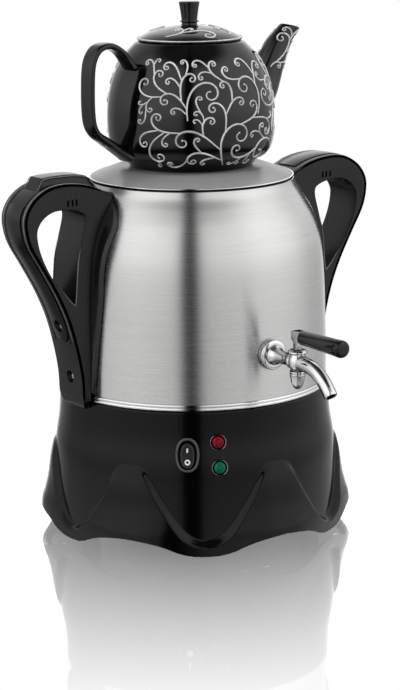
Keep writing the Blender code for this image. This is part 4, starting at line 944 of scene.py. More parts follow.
def urn_side(sizes, steps=6):
    """Points up the urn's side, as radius and height."""
    rise = sizes.lip - URN_FOOT
    return [Vector((share * sizes.radius, URN_FOOT + level * rise))
            for level, share in smooth_curve(URN_SIDE, steps)]


def urn_radius_at(height, sizes):
    return read_table([(point.y, point.x) for point in urn_side(sizes)], height)


class URN_OT_urn(bpy.types.Operator):
    """Make the steel urn, its trim ring and its lid"""
    bl_idname = "tea_urn.urn"
    bl_label = "Urn"

    def execute(self, context):
        sizes = context.scene.urn_urn
        chrome = polished_metal("polished ring", (0.8, 0.8, 0.8), 0.07)
        self.shell(sizes)
        self.trim_ring(chrome)
        self.lid(sizes, chrome)
        return {"FINISHED"}

    @staticmethod
    def shell(sizes):
        """The urn's side, shoulder, neck and floor, with the hole for the tap."""
        outer = urn_side(sizes)
        lip, wall, neck, bore = sizes.lip, sizes.wall, outer[-1].x, sizes.radius - sizes.wall
        section = outer[:-1] + vectors((neck + 0.0002, lip - 0.0006), (neck - 0.0008, lip), (NECK_HOLE, lip),
                                       (NECK_HOLE, lip - wall), (neck - wall, lip - wall))
        section += [Vector((point.x - wall, point.y)) for point in reversed(outer)
                    if FLOOR_HIGH + 0.0005 < point.y < lip - 0.002]
        section += vectors((bore, FLOOR_HIGH), (0.0, FLOOR_HIGH), (0.0, FLOOR_LOW), (bore, FLOOR_LOW),
                           (bore, URN_FOOT))
        shell = solid("urn_shell", lathe(section, ROUND), 40.0)
        hole = [(0.0, 0.098), (TAP_HOLE_RADIUS, 0.098), (TAP_HOLE_RADIUS, 0.115), (0.0, 0.115)]
        hole = forwards(lathe(hole, 48), TAP_HOLE_HEIGHT)
        shell = cut(shell, solid("tap_hole", hole), smooth=40.0)
        dress(shell, brushed_steel("brushed steel", sizes.look), "urn", "brushed_steel", "urn_shell")

    @staticmethod
    def trim_ring(chrome):
        """Two round beads, one on the other."""
        roll = (TRIM_TOP - URN_FOOT) / 4
        section = [(TRIM_INNER, URN_FOOT)]
        for centre in (URN_FOOT + roll, TRIM_TOP - roll):
            for angle in (radians(step) for step in range(-90, 91, 15)):
                section.append((TRIM_REACH - roll * 0.55 + roll * 0.55 * cos(angle),
                                centre + roll * 0.97 * sin(angle)))
        section.append((TRIM_INNER, TRIM_TOP))
        piece("trim_ring", lathe(section, ROUND), chrome, "urn", "chrome", 40.0)

    @staticmethod
    def lid(sizes, chrome):
        """The lid with its flat seat for the teapot, a chrome ring on its edge as a painted highlight, and
        under that a black ring as painted shadow.
        """
        rim, under, skirt, seat = LID_RIM, sizes.lip + 0.0003, LID_SKIRT, sizes.seat
        cone = [(rim - 0.0016, 0.2918), (0.0795, 0.293), (0.0735, 0.2951), (0.067, 0.29745), (0.0628, 0.2989),
                (0.06, 0.2995), (LID_FLAT, seat)]
        section = [(rim - 0.0006, under), (rim, under + 0.0006), (rim - 0.0004, under + 0.0014),
                   *tuples(smooth_curve(cone, 4)), (LID_HOLE, seat), (LID_HOLE, seat - 0.001),
                   (LID_FLAT, seat - 0.001), (0.0668, 0.2962), (skirt - 0.001, 0.2912),
                   (skirt - 0.001, under - 0.006), (skirt, under - 0.006), (skirt, under)]
        steel = brushed_steel("spun steel", toned(sizes.look, 0.55), 0.3, 0.6, 0.3)
        piece("urn_lid", lathe(section, ROUND), steel, "lid", "brushed_steel", 30.0)
        # A chrome ring, brighter than the lid's steel: a painted highlight on the lid's edge.
        bright = [(rim - 0.0004 + out, under + 0.0013 + up) for out, up in circle(0.0006, 12)]
        piece("lid_edge_highlight", lathe(bright, ROUND), chrome, "lid", "chrome", 60.0)
        # A black ring under the edge: painted shadow.
        dark = [(rim - 0.001, under + 0.00002), (rim, under + 0.00005), (rim + 0.00015, under + 0.0004),
                (rim + 0.0001, under + 0.0008), (rim - 0.0004, under + 0.0008)]
        piece("lid_shadow", lathe(dark, ROUND), painted_shade_black("lid shadow black"), "lid", "satin_black", 60.0)


# Handles

HANDLE_EDGE = ((-0.52, 0.911), (-0.383, 0.936), (-0.035, 0.982), (0.313, 1.0), (0.609, 0.99), (0.842, 0.948),
               (0.974, 0.89), (1.0, 0.83), (0.93, 0.743), (0.73, 0.634), (0.522, 0.517), (0.357, 0.397),
               (0.243, 0.267), (0.174, 0.15), (0.155, 0.05), (0.115, 0.01), (0.06, 0.0))
HANDLE_HOLE = ((0.052, 0.841), (0.157, 0.876), (0.348, 0.888), (0.539, 0.887), (0.687, 0.865), (0.783, 0.83),
               (0.809, 0.786), (0.757, 0.71), (0.626, 0.62), (0.47, 0.552), (0.278, 0.478), (0.231, 0.492),
               (0.191, 0.634), (0.139, 0.724))
SADDLE_WIDTH = ((0.0, 0.59), (0.055, 0.62), (0.185, 0.69), (0.29, 0.76), (0.39, 0.82), (0.5, 0.865),
                (0.6, 0.86), (0.72, 0.9), (0.8, 0.97), (0.834, 1.0), (0.86, 0.97), (0.893, 0.9),
                (0.93, 0.78), (0.957, 0.64), (0.98, 0.5), (1.0, 0.35))
HANDLE_FOOT, HANDLE_RISE, HANDLE_DEPTH = 0.1135, 0.1838, 0.0575
STRIP_PROUD, STRIP_SINK, STRIP_WIDTH, STRIP_END = 0.0008, 0.0024, 0.022, 0.79
SEAM_GAP, SEAM_SPOT, LIP_SPOT = 0.0018, 0.0009, 0.0026
SADDLE_LOW, SADDLE_HIGH, SADDLE_HALF, SADDLE_ROWS, SADDLE_COLUMNS = 0.1255, 0.286, 0.035, 80, 28
SLOT_PLACES, SLOT_HEIGHT, SLOT_DEPTH = (0.1208, 0.1245, 0.1286), 0.282, 0.0035
BUTTON_START, BUTTON_END, BUTTON_LOW, BUTTON_TOP, BUTTON_HALF = 0.0965, 0.1508, 0.287, 0.3033, 0.0105
BUTTON_RISE = ((0.0, 0.2), (0.08, 0.52), (0.17, 0.84), (0.35, 0.97), (0.55, 1.0), (0.75, 0.99), (0.88, 0.95),
               (0.915, 0.91), (0.95, 0.74), (1.0, 0.36))
SIDEWAYS = Vector((0.0, 1.0, 0.0))
FLAT_ANGLE = 32.0


def handle_point(share, urn):
    return Vector((urn.radius + share[0] * HANDLE_DEPTH, HANDLE_FOOT + share[1] * HANDLE_RISE))


def handle_curve(table, urn, closed=False):
    return smooth_curve([handle_point(share, urn) for share in table], 8, closed)


def loop_normals(loop, inwards):
    """Unit normals of a closed loop, out of the material."""
    area = sum(a.x * b.y - b.x * a.y for a, b in zip(loop, loop[1:] + loop[:1]))
    sign = (1 if area > 0 else -1) * (-1 if inwards else 1)
    normals = []
    for index in range(len(loop)):
        along = (loop[(index + 1) % len(loop)] - loop[index - 1]).normalized()
        normals.append(Vector((along.y, -along.x)) * sign)
    return normals


def rounded_plate(outline, hole, half, radius, groove, mask):
    """A plate between -half and half on Y, with rounded long edges, a hole and a groove inside its edge."""
    shape = bmesh.new()
    ends = ([], [])
    bend = [(radius * (1 - cos(angle)), half - radius + radius * sin(angle), 0.0)
            for angle in (radians(step) for step in (0, 18, 36, 54, 72, 90))]
    dip = [(radius + inset, half, sunk)
           for inset, sunk in ((0.0001, 0.0), (0.0002, 1.0), (0.0012, 1.0), (0.0014, 0.0))]

    def ring(places, side, inset, depth, sunk):
        made = []
        for point, normal, weight in places:
            pull = inset if inset <= radius else radius + (inset - radius) * mix(0.15, 1.0, weight)
            spot = point - normal * pull
            made.append(shape.verts.new((spot.x, side * (depth - groove * sunk * weight), spot.y)))
        return made

    for loop, steps, weights in ((outline, bend + dip, mask), (hole, bend, [1.0] * len(hole))):
        places = list(zip(loop, loop_normals(loop, loop is hole), weights))
        rings = [ring(places, -1, *step) for step in reversed(steps)]
        rings += [ring(places, 1, *step) for step in steps]
        for low, high in zip(rings, rings[1:]):
            bridge(shape, low, high)
        ends[0].append(rings[0])
        ends[1].append(rings[-1])
    for loops in ends:
        fill_loops(shape, loops)
    return shape


def edge_stations(urn, start_share, end_share):
    """Places along a handle's outer edge: point, outward direction, and distance left to the end."""
    edge = handle_curve(HANDLE_EDGE, urn)
    lengths = run_lengths(edge)
    start, end = start_share * lengths[-1], end_share * lengths[-1]
    half = STRIP_WIDTH / 2
    kept = [start] + [spot for spot in lengths if start + 0.001 < spot < end - half]
    kept += [end - half * cos(pi / 2 * step / 12) for step in range(12)] + [end - half * 0.002]
    stations = []
    for spot in kept:
        index = max(place for place in range(len(lengths) - 1) if lengths[place] <= spot)
        share = (spot - lengths[index]) / (lengths[index + 1] - lengths[index])
        ahead = edge[min(index + 2, len(edge) - 1)] - edge[max(index - 1, 0)]
        outward = Vector((-ahead.y, ahead.x)).normalized()
        stations.append((edge[index].lerp(edge[index + 1], share), outward, end - spot))
    return stations


def strip_shape(urn, side, start_share, spare=0.0):
    """The cover strip let into a handle's outer edge, or with a spare the channel that it lies in."""
    rings = []
    half = STRIP_WIDTH / 2
    crown = STRIP_PROUD + (0.004 if spare else 0.0)
    low = -STRIP_SINK - (0.0003 if spare else 0.0)
    soft = 0.0 if spare else 0.0005
    for place, outward, left in edge_stations(urn, start_share, STRIP_END):
        gone = max(half - left, 0.0)
        wide = max(sqrt(max(half ** 2 - gone ** 2, 0.0)), 0.0004) + spare
        corner = [(wide - soft, crown), (wide - soft * 0.3, crown - soft * 0.3), (wide, crown - soft),
                  (wide, low)]
        section = [(-across, out) for across, out in reversed(corner)]
        section += ([] if spare else [(0.0, crown + 0.0002)]) + corner
        rings.append([(side * (place.x + outward.x * out), across, place.y + outward.y * out)
                      for across, out in section])
    return skin(rings)


def edge_reach(height, urn):
    """How far from the axis a handle's outer edge is at a height in its lower part."""
    edge = [point for point in handle_curve(HANDLE_EDGE, urn) if point.y < HANDLE_FOOT + HANDLE_RISE * 0.75]
    for before, after in zip(edge, edge[1:]):
        if after.y <= height <= before.y:
            return mix(before.x, after.x, (height - before.y) / (after.y - before.y))
    return edge[0].x


SCREW_SPOTS = ((0.181, STRIP_PROUD), (0.1385, 0.0))


class URN_OT_handles(bpy.types.Operator):
    """Make both handles with their cover strips, saddles, screws and the push button"""
    bl_idname = "tea_urn.handles"
    bl_label = "Handles"

    def execute(self, context):
        sizes, urn = context.scene.urn_handles, context.scene.urn_urn
        satin = satin_moulding("satin black", sizes.look, 0.27)
        strip_look = satin_moulding("satin black strip", sizes.look, 0.24)
        saddle_look = gloss_moulding("smooth black", sizes.look, 0.2, 0.42)
        # Lips and button edges are a lighter grey than the handle: painted highlights.
        highlight_lip_look = gloss_moulding("lip painted highlight grey", (0.085, 0.085, 0.086), 0.14, 1.0)
        # Black beads in the seams and face corners: painted shade.
        seam_shade_look = painted_shade_black("seam painted shade black")
        spots, facings = [], []
        for side, word in ((-1, "left"), (1, "right")):
            start = 0.335 if side < 0 else 0.07
            frame_piece = self.frame(side, word, sizes, urn)
            channel = solid("channel", strip_shape(urn, side, start, SEAM_GAP))
            frame_piece = cut(frame_piece, channel, smooth=FLAT_ANGLE)
            strip = solid("handle_cover_" + word, strip_shape(urn, side, start), FLAT_ANGLE)
            for height, proud in SCREW_SPOTS:
                seat = edge_reach(height, urn) + proud - 0.0036
                recess = lathe([(0.0, seat), (0.0044, seat), (0.0051, seat + 0.0034), (0.0051, seat + 0.009),
                                (0.0, seat + 0.009)], 48)
                turn_out = Matrix.Translation((0, 0, height)) @ Matrix.Rotation(side * pi / 2, 4, "Y")
                tool = solid("recess", move(recess, turn_out))
                if proud:
                    strip = cut(strip, new_object(tool.name, tool.data.copy()), smooth=FLAT_ANGLE)
                frame_piece = cut(frame_piece, tool, smooth=FLAT_ANGLE)
                spots.append(Vector((side * (seat + 0.0003), 0.0, height)))
                facings.append((float(side), 0.0, 0.0))
            if side < 0:
                pocket = prism(rectangle(0.0552, 0.0216, -0.1238), "z", 0.2842, 0.305)
                frame_piece = cut(frame_piece, solid("pocket", pocket), smooth=FLAT_ANGLE)
            dress(frame_piece, satin, "urn", "satin_black", "handle_frame_" + word)
            dress(strip, strip_look, "urn", "satin_black", "handle_cover_" + word)
            for name, shape, look, smooth in (("highlight_lips", self.highlight_lips(side, sizes, urn), highlight_lip_look, 60.0),
                                              ("seam_shades", self.seam_shades(side, sizes, urn), seam_shade_look, 60.0),
                                              ("saddle", self.saddle(side, urn, sizes), saddle_look, 45.0)):
                piece("handle_%s_%s" % (name, word), shape, look, "urn", "satin_black", smooth)
        bright = polished_metal("screw plate", (0.7, 0.7, 0.69), 0.14)
        seed = seed_object("handle_screws", spots, facings)
        screws = screw_recipe(0.003, 0.0017, 0.0017, 0.0045).run(seed, bright, 30.0)
        nodes = ["handle_screw_%s_%s" % (level, side)
                 for level in ("upper", "lower") for side in ("left", "right")]
        dress(screws, bright, "urn", "chrome", *nodes)
        self.button(satin, highlight_lip_look)
        return {"FINISHED"}

    @staticmethod
    def along_edge(side, urn, across, sunk, end=STRIP_END):
        """Points along a handle's outer edge, off its middle plane and under its surface."""
        return [Vector((side * (place.x - outward.x * sunk), across, place.y - outward.y * sunk))
                for place, outward, _ in edge_stations(urn, 0.07, end)]

    @classmethod
    def highlight_lips(cls, side, sizes, urn):
        """Raised lips beside the strip, and round the lower part of the hole, in a lighter grey that paints
        highlights along the edges.
        """
        half = sizes.thickness / 2
        hole = handle_curve(HANDLE_HOLE, urn, True)
        count = len(hole)
        low = min(range(count), key=lambda index: hole[index].y)
        rim = [hole[(low + step) % count] for step in range(-int(count * 0.11), int(count * 0.2))]
        made = []
        for face in (-1, 1):
            edge = cls.along_edge(side, urn, face * (half - LIP_SPOT), 0.0002)
            rim_line = [Vector((side * point.x, face * (half - 0.0001), point.y)) for point in rim]
            made += [bead(edge, 0.0007, SIDEWAYS, 10, 6.0), bead(rim_line, 0.0005, SIDEWAYS, 10, 8.0)]
        return join(*made)

    @classmethod
    def seam_shades(cls, side, sizes, urn):
        """Black beads as painted shade in the seam round the strip and along the corner of each face."""
        made = []
        for face in (-1, 1):
            seam = cls.along_edge(side, urn, face * (STRIP_WIDTH / 2 + SEAM_SPOT), 0.0008)
            corner = cls.along_edge(side, urn, face * (sizes.thickness / 2 - 0.0002), 0.0009, 0.97)
            made += [bead(seam, 0.001, SIDEWAYS), bead(corner, 0.0009, SIDEWAYS, 10, 3.0)]
        return join(*made)

    @staticmethod
    def frame(side, word, sizes, urn):
        """The handle's flat loop, hollowed where it wraps the saddle, with three small slots in each face."""
        edge = handle_curve(HANDLE_EDGE, urn)
        inner = [Vector((0.06, HANDLE_FOOT)), Vector((0.06, edge[0].y))]
        lengths = run_lengths(edge)
        mask = [min(max((0.97 - spot / lengths[-1]) / 0.03, 0.0), 1.0) for spot in lengths]
        mask += [0.0] * len(inner)
        outline, hole = ([Vector((side * point.x, point.y)) for point in loop]
                         for loop in (edge + inner, handle_curve(HANDLE_HOLE, urn, True)))
        half = sizes.thickness / 2
        plate = rounded_plate(outline, hole, half, sizes.rounding, sizes.groove, mask)
        made = solid("handle_frame_" + word, plate, FLAT_ANGLE)
        rows = [(urn_radius_at(height, urn) + 0.0036, height)
                for height in (HANDLE_FOOT - 0.004 + 0.004 * step for step in range(48))]
        tools = [("core", lathe([(0.0, rows[0][1]), *rows, (0.0, rows[-1][1])], 256))]
        for face in (-1, 1):
            wedge = [(face * (half + out), HANDLE_FOOT + up)
                     for out, up in ((-0.007, -0.004), (0.003, -0.004), (0.003, 0.0115))]
            tools.append(("wedge", prism(wedge, "x", *sorted((side * 0.08, side * 0.14)))))
        for place in SLOT_PLACES:
            slot = [(side * place + x, SLOT_HEIGHT + z) for x, z in stadium(0.0018, 0.0054, 4)]
            for face in (-1, 1):
                reach = sorted((face * (half - SLOT_DEPTH), face * (half + 0.002)))
                tools.append(("slot", prism(slot, "y", *reach)))
        for name, tool in tools:
            made = cut(made, solid(name, tool), smooth=FLAT_ANGLE)
        return made

    @staticmethod
    def saddle(side, urn, sizes):
        """The pad between the urn and a handle, with a soft edge."""
        rings = []
        half_handle = sizes.thickness / 2
        widths = tuples(smooth_curve(SADDLE_WIDTH, 5))
        for row in range(SADDLE_ROWS + 1):
            level = row / SADDLE_ROWS
            height = mix(SADDLE_LOW, SADDLE_HIGH, level)
            half = SADDLE_HALF * read_table(widths, level)
            inner = urn_radius_at(height, urn) + 0.0002
            fade = min(level / 0.012, (1 - level) / 0.012, 1.0)
            outer_row, inner_row = [], []
            for column in range(SADDLE_COLUMNS + 1):
                share = 2 * column / SADDLE_COLUMNS - 1
                slope = max(abs(share) * half - half_handle, 0.0) / max(half - half_handle, 0.002)
                edge = max(1 - max(abs(share) - 0.96, 0.0) ** 2 / 0.0016, 0.0) * 0.8 + 0.2
                thick = mix(0.0032, 0.0013, min(slope, 1.0) ** 0.8) * sqrt(edge) * (sqrt(fade) * 0.7 + 0.3)
                angle = share * half / inner
                for made, radius in ((outer_row, inner + thick), (inner_row, inner)):
                    made.append((side * radius * cos(angle), radius * sin(angle), height))
            rings.append(outer_row + inner_row[::-1])
        return skin(rings)

    @staticmethod
    def button(satin, highlight_lip_look):
        """The push button in the top of the left handle, a long block with sloped ends."""
        rings, edges = [], ([], [])
        for place, rise in smooth_curve(BUTTON_RISE, 5):
            reach = -mix(BUTTON_START, BUTTON_END, place)
            top = mix(BUTTON_LOW, BUTTON_TOP, rise)
            half = BUTTON_HALF - 0.0008 * max(1 - min(place, 1 - place) / 0.03, 0.0)
            row = [(half, 0.0), (half, 0.6), (half - 0.0002, 0.64), (half - 0.0019, 0.97),
                   (half - 0.0023, 0.995), (half - 0.0028, 1.0)]
            ring = [(-across, level) for across, level in row] + row[::-1]
            rings.append([(reach, across, mix(BUTTON_LOW, top, level)) for across, level in ring])
            for edge, face in zip(edges, (-1, 1)):
                edge.append(Vector((reach, face * (half - 0.0003), mix(BUTTON_LOW, top, 0.94))))
        piece("lid_release_button", skin(rings), satin, "button", "satin_black", 28.0)
        # Grey beads along the button's top edges: painted highlights.
        lines = [bead([*edge, edge[-1] - Vector((0.0, 0.0, 0.0045))], 0.0003, SIDEWAYS, 8) for edge in edges]
        piece("button_highlight_edges", join(*lines), highlight_lip_look, "button", "satin_black", 60.0)


# Panel; a lamp's sections are radius and height over the wall

LAMP_RIM = ((0.0045, -0.003), (0.0068, -0.003), (0.0068, 0.0006), (0.0066, 0.0013), (0.0062, 0.0016),
            (0.0058, 0.0013), (0.0056, 0.0004), (0.0045, 0.0004))
# The black ring in the gap between a lamp's rim and its lens is painted shade.
LAMP_GAP = ((0.0048, 0.0002), (0.0057, 0.0002), (0.0057, 0.0007), (0.0048, 0.0007))
LAMP_LENS = ((0.0, -0.004), (0.0046, -0.004), (0.00485, 0.0004), (0.0046, 0.0012), (0.0041, 0.0019),
             (0.0033, 0.0024), (0.0027, 0.0026), (0.0025, 0.0023), (0.0022, 0.0023), (0.002, 0.0027),
             (0.0012, 0.003), (0.0, 0.0031))


class URN_OT_panel(bpy.types.Operator):
    """Make the rocker switch with its marks and the two lamps"""
    bl_idname = "tea_urn.panel"
    bl_label = "Panel"

    def execute(self, context):
        sizes = context.scene.urn_base
        # Black rings in the recesses round the rocker and the lenses: painted shade.
        recess_shade_look = painted_shade_black("recess painted shade black")
        place = panel_place(*SWITCH, sizes)
        self.bezel(place, recess_shade_look)
        self.rocker(place @ Matrix.Translation((0, 0.0022, 0)) @ Matrix.Rotation(radians(8.0), 4, "X"))
        rim_look = polished_metal("lamp rim plate", (0.17, 0.17, 0.173), 0.1, 0.6)
        for name, spot, tint in (("red", RED_LAMP, (0.26, 0.003, 0.012)),
                                 ("green", GREEN_LAMP, (0.0, 0.16, 0.085))):
            lens_look = lens_plastic(name + " lamp", tint, 0.04)
            turn_out = panel_place(*spot, sizes) @ Matrix.Rotation(pi / 2, 4, "X")
            for part, section, look, slot, smooth in (("rim", LAMP_RIM, rim_look, "satin_black", 40.0),
                                                      ("recess", LAMP_GAP, recess_shade_look, "satin_black", 40.0),
                                                      ("lens", LAMP_LENS, lens_look, name + "_lens", 30.0)):
                shape = move(lathe(section, 64), turn_out)
                piece("%s_lamp_%s" % (name, part), shape, look, "urn", slot, smooth)
        return {"FINISHED"}

    @staticmethod
    def bezel(place, recess_shade_look):
        """The switch's frame in a grey lifted as a painted highlight on its rim, and a black ring as painted
        shade in the recess inside it; each row is how far out and how far forward.
        """
        frame_rows = ((0.0, -0.0008), (0.0, 0.0009), (-0.0002, 0.0016), (-0.0007, 0.0021), (-0.0013, 0.0021),
                      (-0.0019, 0.0015), (-0.0022, 0.0008), (-0.0033, 0.0006), (-0.0037, 0.0),
                      (-0.0037, -0.008), (0.0, -0.008))
        recess_rows = ((-0.0022, 0.0003), (-0.0022, 0.001), (-0.0034, 0.001), (-0.0034, 0.0003))
        # Dark grey rather than black: a painted highlight on the bezel's rim.
        look = gloss_moulding("bezel painted highlight grey", (0.05, 0.05, 0.051), 0.2, 0.9)
        for name, rows, finish in (("switch_bezel", frame_rows, look),
                                   ("bezel_recess", recess_rows, recess_shade_look)):
            rings = [[(x, -stand, z) for x, z in oval(BEZEL_WIDTH + 2 * grow, BEZEL_HEIGHT + 2 * grow)]
                     for grow, stand in rows]
            piece(name, move(skin(rings, along=True), place), finish, "urn", "satin_black", 40.0)

    @staticmethod
    def rocker(pivot):
        """The rocker with its dished face, and the marks printed on it."""
        def front(height):
            """How far a rocker's face stands in front of its pivot."""
            return 0.0052 - 0.0011 * (1 - min(abs(height) / 0.009, 1.0) ** 2)

        rings = []
        for drop, inset in ((-0.0085, 0.0), (0.0007, 0.0), (0.0003, 0.00012), (0.0, 0.0005)):
            rings.append([(x, -(front(z) - drop if drop >= 0 else -0.002), z)
                          for x, z in oval(ROCKER_WIDTH - 2 * inset, ROCKER_HEIGHT - 2 * inset)])
        count = len(rings[0])
        shape = skin(rings, caps=False)
        shape.verts.ensure_lookup_table()
        shape.faces.new(shape.verts[:count])
        last = shape.verts[-count:]
        for share in (0.75, 0.5, 0.25):
            row = [shape.verts.new((x, -front(z), z)) for x, z in oval(0.0104 * share, 0.019 * share)]
            bridge(shape, last, row)
            last = row
        shape.faces.new(last)
        satin = satin_moulding("switch black", (0.016, 0.016, 0.0165), 0.22, 3000.0)
        piece("switch_rocker", move(shape, pivot), satin, "rocker", "satin_black", 40.0)
        bar = [(x, 0.0049 + z) for x, z in stadium(0.0014, 0.004, 4)]
        ring_out, ring_in = ([(x, -0.0049 + z) for x, z in circle(radius, 32)]
                             for radius in (0.00225, 0.00115))
        marks = []
        for outer, holes in ((bar, ()), (ring_out, (ring_in,))):
            shape = prism(outer, "y", -0.0001, 0.0002, holes)
            for vert in shape.verts:
                vert.co.y = -front(vert.co.z) - (0.00006 if vert.co.y < 0 else -0.0002)
            marks.append(shape)
        white = plain_finish("white print", (0.8, 0.8, 0.79), 0.4, 0.0, 900.0)
        piece("switch_marks", move(join(*marks), pivot), white, "rocker", "white_plastic", 30.0)


class URN_OT_inlet(bpy.types.Operator):
    """Make the mains inlet and its pins at the back of the base"""
    bl_idname = "tea_urn.inlet"
    bl_label = "Inlet"

    def execute(self, context):
        place = panel_place(*INLET, context.scene.urn_base)
        satin = satin_moulding("inlet black", (0.016, 0.016, 0.016), 0.35, 3000.0)
        brass = plain_finish("pin brass", (0.62, 0.45, 0.19), 0.3, 1.0, 900.0)
        half, tall, chop = 0.01225, 0.00825, 0.005
        outline = [(-half, -tall), (half, -tall), (half, tall - chop), (half - chop, tall),
                   (chop - half, tall), (-half, tall - chop)]
        flange = soften(solid("inlet_socket", prism(rectangle(0.031, 0.0245), "y", -0.0006, 0.0014)), 0.0005)
        flange = cut(flange, solid("tub", prism(rectangle(0.0275, 0.0195), "y", 0.0004, 0.0224)), "UNION")
        shape = mesh_shape(cut(flange, solid("mouth", prism(outline, "y", -0.0046, 0.0164))))
        bmesh.ops.translate(shape, verts=shape.verts, vec=-axis_place)
        piece("inlet_socket", move(shape, place), satin, "urn", "satin_black")
        for word, column, row in (("line", -1, -1), ("earth", 0, 1), ("neutral", 1, -1)):
            name = "inlet_pin_" + word
            pin = prism(rectangle(0.002, 0.004, column * 0.007, row * 0.002), "y", 0.0014, 0.0204)
            pin = soften(solid(name, pin), 0.0004, 2)
            pin.data.transform(Matrix.Translation(axis_place) @ place @ Matrix.Translation(-axis_place))
            dress(pin, brass, "urn", "brass", name)
        return {"FINISHED"}


# Tap; heights are above or below its neck's middle, reaches are from the urn's axis

TAP_SEAT = 0.11 + 0.0003
BARREL_HALF, BALL_RADIUS, BALL_REACH = 0.0065, 0.0063, 0.139
SPOUT_REACH, SPOUT_DROP = 0.0428, 0.0192
CAP_ROWS = ((0.0012, 0.0146, 0.0), (0.0022, 0.0142, 0.2), (0.0034, 0.0128, 0.7), (0.005, 0.0092, 1.0),
            (0.0058, 0.0042, 1.0), (0.0061, 0.0035, 0.0), (0.0062, 0.0026, 0.0), (0.0062, 0.002, 0.0),
            (0.0055, 0.0017, 0.0), (0.0055, 0.0014, 0.0), (0.0062, 0.0011, 0.0), (0.0062, 0.0, 0.0))
GRIP_LENGTH = 0.0518
SPOUT_PATH = ((0.0, 0.0), (0.16, 0.0), (0.32, 0.03), (0.48, 0.1), (0.63, 0.24), (0.78, 0.48), (0.9, 0.74),
              (1.0, 1.0))


def pipe_rings(path, radii, steps=40):
    """Rings along a path in the tap's middle plane, given as reach and height."""
    rings = []
    for index, (point, radius) in enumerate(zip(path, radii)):
        along = heading(path, index)
        rings.append([(radius * sin(angle), -point.x + along.y * radius * cos(angle),
                       point.y + along.x * radius * cos(angle)) for angle in angles(steps)])
    return rings


def on_plug(shape, reach):
    """Move a shape made about Z to the plug's axis."""
    return move(shape, Matrix.Translation((0, -reach, 0)))


